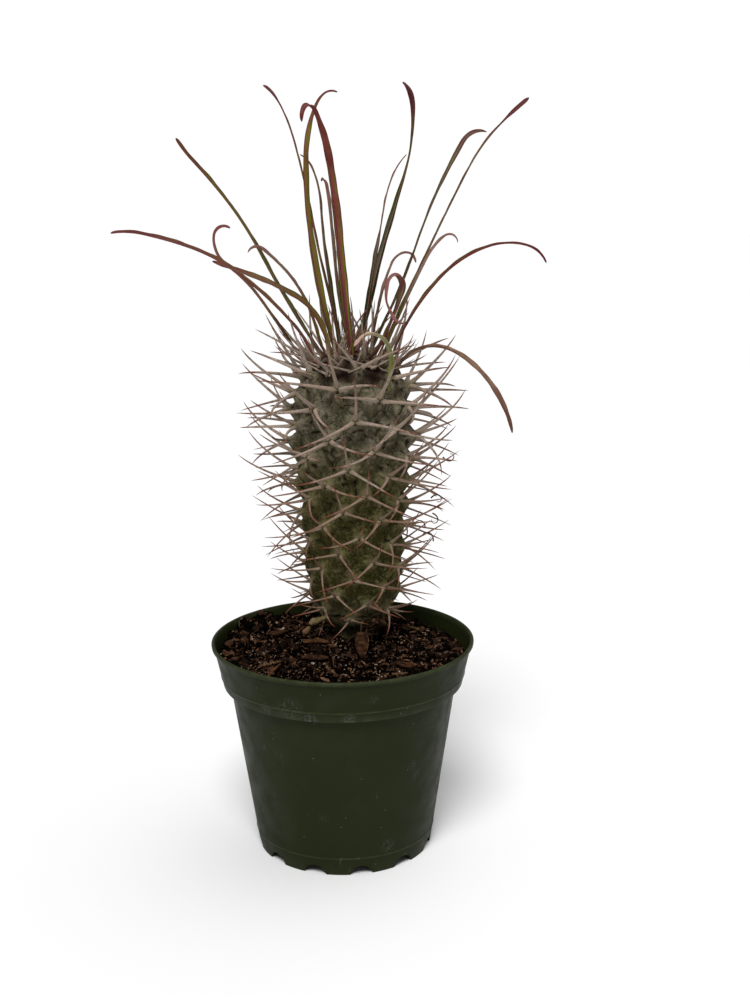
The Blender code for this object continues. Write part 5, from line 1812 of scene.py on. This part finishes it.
def make_curls():
    """Dried, curled leaf remnants caught among the spines at the right."""
    look = wood_look("dry_curl", *SHRED)
    heap = Heap("edge")
    for number, (x, y, z) in enumerate(CURLS):
        draw = random.Random(number)
        turn = draw.uniform(0.0, math.tau)
        bend = draw.uniform(3.2, 5.2) * draw.choice((-1, 1))
        place = np.array((x, y, z))
        path = []
        for t in np.linspace(0.0, 1.0, CURL_RINGS):
            path.append(place.copy())
            turn += bend * (0.3 + 1.4 * t) / CURL_RINGS
            step = CURL_LENGTH / CURL_RINGS
            place += np.array((math.cos(turn), 0.35 * math.sin(2.0 * turn), math.sin(turn))) * step
        radii = [CURL_RADIUS * (1.0 - 0.6 * t) for t in np.linspace(0.0, 1.0, CURL_RINGS)]
        heap.add(tube_points(path, radii, 6), tube_faces(CURL_RINGS, 6), edge=0.0)
    heap.add_piece("dry_curls", look, "dry_leaf")


def lumpy_tube(heap, path, radii, tone, knob=0.18, size=0.0022, sides=12):
    """Adds a root through those points, smoothly and with knobs, to a heap."""
    shares = np.linspace(0.0, 1.0, len(path))
    fine = np.linspace(0.0, 1.0, ROOT_RINGS)
    line = np.stack([np.interp(fine, shares, [p[axis] for p in path]) for axis in range(3)], -1)
    for _ in range(2):
        line[1:-1] = (line[:-2] + 2 * line[1:-1] + line[2:]) / 4
    points = tube_points(line, np.interp(fine, shares, radii), sides)
    middle = np.repeat(line, sides, axis=0)
    swell = 1.0 + knob * noise_at(points, size)
    heap.add(middle + (points - middle) * swell[:, None], tube_faces(ROOT_RINGS, sides), tone=tone)


def make_roots():
    """The knobbly new root at the left of the stem's base, and brown roots and nubs at its right."""
    draw = random.Random(SOIL_SEED + 2)
    heap = Heap("tone")
    lumpy_tube(heap, STUB, (0.0012, 0.0021, 0.0016, 0.0023, 0.0017), 0.95, knob=0.35, size=0.0030)
    lumpy_tube(heap, STUB_FOOT, (0.0008, 0.0017, 0.0019, 0.0010), 0.50, knob=0.4, size=0.0026)
    for _ in range(NUB_COUNT):
        angle = math.radians(draw.uniform(*NUB_ARC_DEG))
        around = level_way(angle)
        z = draw.uniform(0.1425, 0.1560)
        base = Vector((STEM_X, STEM_Y, z)) + around * (float(profile_radius(z)) - 0.0005)
        heading = (around + UP * draw.uniform(-0.7, 0.1)).normalized()
        tip = base + heading * draw.uniform(0.003, 0.0055)
        size = draw.uniform(0.0011, 0.0020)
        radii = (size, 0.8 * size, 0.25 * size)
        tone = draw.uniform(0.3, 0.62)
        lumpy_tube(heap, (base, base.lerp(tip, 0.5), tip), radii, tone, knob=0.45, size=0.0018)
    for _ in range(ROOT_COUNT):
        angle = math.radians(draw.uniform(*ROOT_ARC_DEG))
        top = draw.uniform(0.1345, 0.150)
        around = level_way(angle)
        point = Vector((STEM_X, STEM_Y, top)) + around * (float(profile_radius(top)) - 0.0006)
        heading = around * draw.uniform(0.0, 0.6)
        heading += Vector((-around.y, around.x, 0.0)) * draw.uniform(-0.9, 0.9)
        heading = (heading - Vector((0.0, 0.0, draw.uniform(0.3, 1.1)))).normalized()
        step = draw.uniform(0.0016, 0.0042)
        path = [point]
        for _ in range(3):
            heading = (heading + Vector([draw.uniform(-0.55, 0.55) for _ in range(3)])).normalized()
            path.append(path[-1] + heading * step)
        radius = draw.uniform(0.00018, 0.00075)
        radii = (radius, radius, 0.8 * radius, 0.35 * radius)
        lumpy_tube(heap, path, radii, draw.uniform(0.0, 0.45), knob=0.4, size=0.0014, sides=6)
    heap.add_piece("base_roots", root_look(), "stem_skin")


def make_chips():
    look = wood_look("bark", *BARK)
    for name, chip in CHIPS.items():
        draw = random.Random(name)
        shape = bmesh.new()
        bmesh.ops.create_cube(shape, size=1.0)
        bmesh.ops.subdivide_edges(shape, edges=shape.edges, cuts=CHIP_CUTS, use_grid_fill=True)
        seed = draw.uniform(0.0, 9.0)
        middle, turn = chip_pose(chip)
        edge = []
        outline = CHIP_OUTLINES[name]
        for vertex in shape.verts:
            x, y, z = vertex.co * 2.0
            ragged = 0.10 * noise.noise(Vector((3.0 * y, 3.0 * z, seed)))
            ragged += 0.05 * noise.noise(Vector((9.0 * y, 9.0 * z, seed)))
            narrow = float(np.interp(x, CHIP_STATIONS, outline))
            narrow += 0.10 * noise.noise(Vector((5.0 * x, z, seed + 3.0)))
            thick = 0.85 - 0.45 * y * y - 0.30 * x * x + 0.25 * noise.noise(Vector((1.6 * x, 7.0 * y, seed)))
            local = Vector((
                x * (0.46 + 0.5 * ragged) * chip["length"],
                (y * 0.5 * narrow + 0.05 * math.sin(2.4 * x + seed)) * chip["breadth"],
                z * 0.5 * thick * chip["thickness"],
            ))
            vertex.co = middle + turn @ local
            # Painted highlight along one long side of the chips so listed.
            rim = float(smooth_step(y, 0.85, 1.0)) if name in HIGHLIGHT_RIMMED else 0.0
            edge.append(rim * (0.40 + 0.6 * noise.noise(Vector((4.0 * x, 4.0 * z, seed)))))
        mesh = mesh_of(name + "_piece", shape)
        set_value(mesh, "edge", np.clip(edge, 0.0, 1.0))
        add_piece(name + "_piece", mesh, look, "bark", [name], sharp_deg=45)


def make_sticks():
    look = wood_look("stick", *STICK)
    for name, stick in STICKS.items():
        draw = random.Random(name)
        heading = math.radians(stick["heading"])
        ahead = level_way(heading)
        side = Vector((-ahead.y, ahead.x, 0.0))
        down = Vector((0.0, 0.0, -stick["radius"]))
        middle = seat(stick["x"], stick["y"], [ahead * along + down for along in across_of(stick["length"])])
        bend = draw.uniform(-0.06, 0.06)
        path = []
        radii = []
        for t in np.linspace(-1.0, 1.0, STICK_RINGS):
            sag = bend * (1.0 - t * t) * stick["length"]
            path.append(middle + ahead * (t * stick["length"] / 2) + side * sag)
            ends = 1.0 - 0.35 * abs(t) ** 6
            radii.append(stick["radius"] * ends * (1.0 + 0.12 * noise.noise(Vector((5.0 * t, heading, 0.0)))))
        points = tube_points(path, radii, STICK_SIDES)
        mesh = new_mesh(name + "_piece", points, tube_faces(STICK_RINGS, STICK_SIDES))
        set_value(mesh, "edge", np.zeros(len(points)))
        add_piece(name + "_piece", mesh, look, "stick", [name], sharp_deg=50)


def make_straws():
    """Loose straws and a flake of wood that lie on the soil."""
    look = wood_look("straw", *STRAW)
    heap = Heap("edge")
    for ends, lift, radius in STRAWS:
        path = [Vector((x, y, ground(x, y) + radius + rise)) for (x, y), rise in zip(ends, lift)]
        path.insert(1, path[0].lerp(path[1], 0.5) + Vector((0.0006, 0.0006, 0.0012)))
        points = tube_points([np.array(point) for point in path], (0.6 * radius, radius, 0.4 * radius), 8)
        heap.add(points, tube_faces(3, 8), edge=0.0)
    heap.add_piece("soil_straws", look, "stick", sharp_deg=50)


# Light, floor and camera

def set_stage():
    corners = [(x * FLOOR_HALF, y * FLOOR_HALF, 0) for x, y in ((-1, -1), (1, -1), (1, 1), (-1, 1))]
    mesh = new_mesh("floor", corners, [(0, 1, 2, 3)])
    paint = Look("floor_paint", 0.9, specular=0.05)
    paint.base(FLOOR_COLOUR)
    mesh.materials.append(paint.material)
    floor = placed("floor", mesh)


def add_sun(name, place, power, angle_deg):
    """A broad, far light that shines from a place towards the pot."""
    data = bpy.data.lights.new(name, "SUN")
    data.energy = power
    data.angle = math.radians(angle_deg)
    lamp = placed(name, data)
    lamp.location = place
    lamp.rotation_mode = "QUATERNION"
    lamp.rotation_quaternion = Vector(place).to_track_quat("Z", "Y")


def set_light():
    world = bpy.data.worlds.new("studio")
    bpy.context.scene.world = world
    world.use_nodes = True
    nodes = world.node_tree.nodes
    links = world.node_tree.links
    soft = nodes["Background"]
    plain = nodes.new("ShaderNodeBackground")
    for light, strength in ((soft, SOFT_LIGHT), (plain, BACKDROP)):
        light.inputs["Color"].default_value = (1.0, 1.0, 1.0, 1.0)
        light.inputs["Strength"].default_value = strength
    rays = nodes.new("ShaderNodeLightPath")
    choose = nodes.new("ShaderNodeMixShader")
    links.new(rays.outputs["Is Camera Ray"], choose.inputs["Fac"])
    links.new(soft.outputs[0], choose.inputs[1])
    links.new(plain.outputs[0], choose.inputs[2])
    links.new(choose.outputs[0], nodes["World Output"].inputs["Surface"])
    for name, lamp in SUNS.items():
        add_sun(name, **lamp)
    bpy.context.scene.view_settings.view_transform = "Standard"


def set_camera():
    pitch, yaw, roll = CAMERA_PITCH, CAMERA_YAW, CAMERA_ROLL
    ahead = Vector((math.sin(yaw) * math.cos(pitch), math.cos(yaw) * math.cos(pitch), -math.sin(pitch)))
    level = Vector((math.cos(yaw), -math.sin(yaw), 0.0))
    above = level.cross(ahead)
    right = level * math.cos(roll) + above * math.sin(roll)
    up = above * math.cos(roll) - level * math.sin(roll)
    data = bpy.data.cameras.new("camera")
    data.lens = CAMERA_LENS
    data.sensor_width = CAMERA_SENSOR
    data.clip_start = 0.01
    camera = placed("camera", data)
    place = Matrix((right, up, -ahead)).transposed().to_4x4()
    place.translation = Vector(CAMERA_PLACE)
    camera.matrix_world = place
    bpy.context.scene.camera = camera


def main():
    set_camera()
    set_light()
    set_stage()
    make_pot()
    make_soil()
    make_crumbs()
    make_fibres()
    places = areoles()
    coarse, _ = stem_mesh("stem_coarse", places, STEM_COLUMNS, STEM_ROW_STEP)
    leaves = leaf_lines(surface_of(coarse))
    make_skin(places)
    make_spines(places, leaves + chip_lines())
    make_pads(places)
    make_young_spines(leaves)
    make_scars(places)
    make_blades()
    make_curls()
    make_roots()
    make_chips()
    make_sticks()
    make_straws()


main()
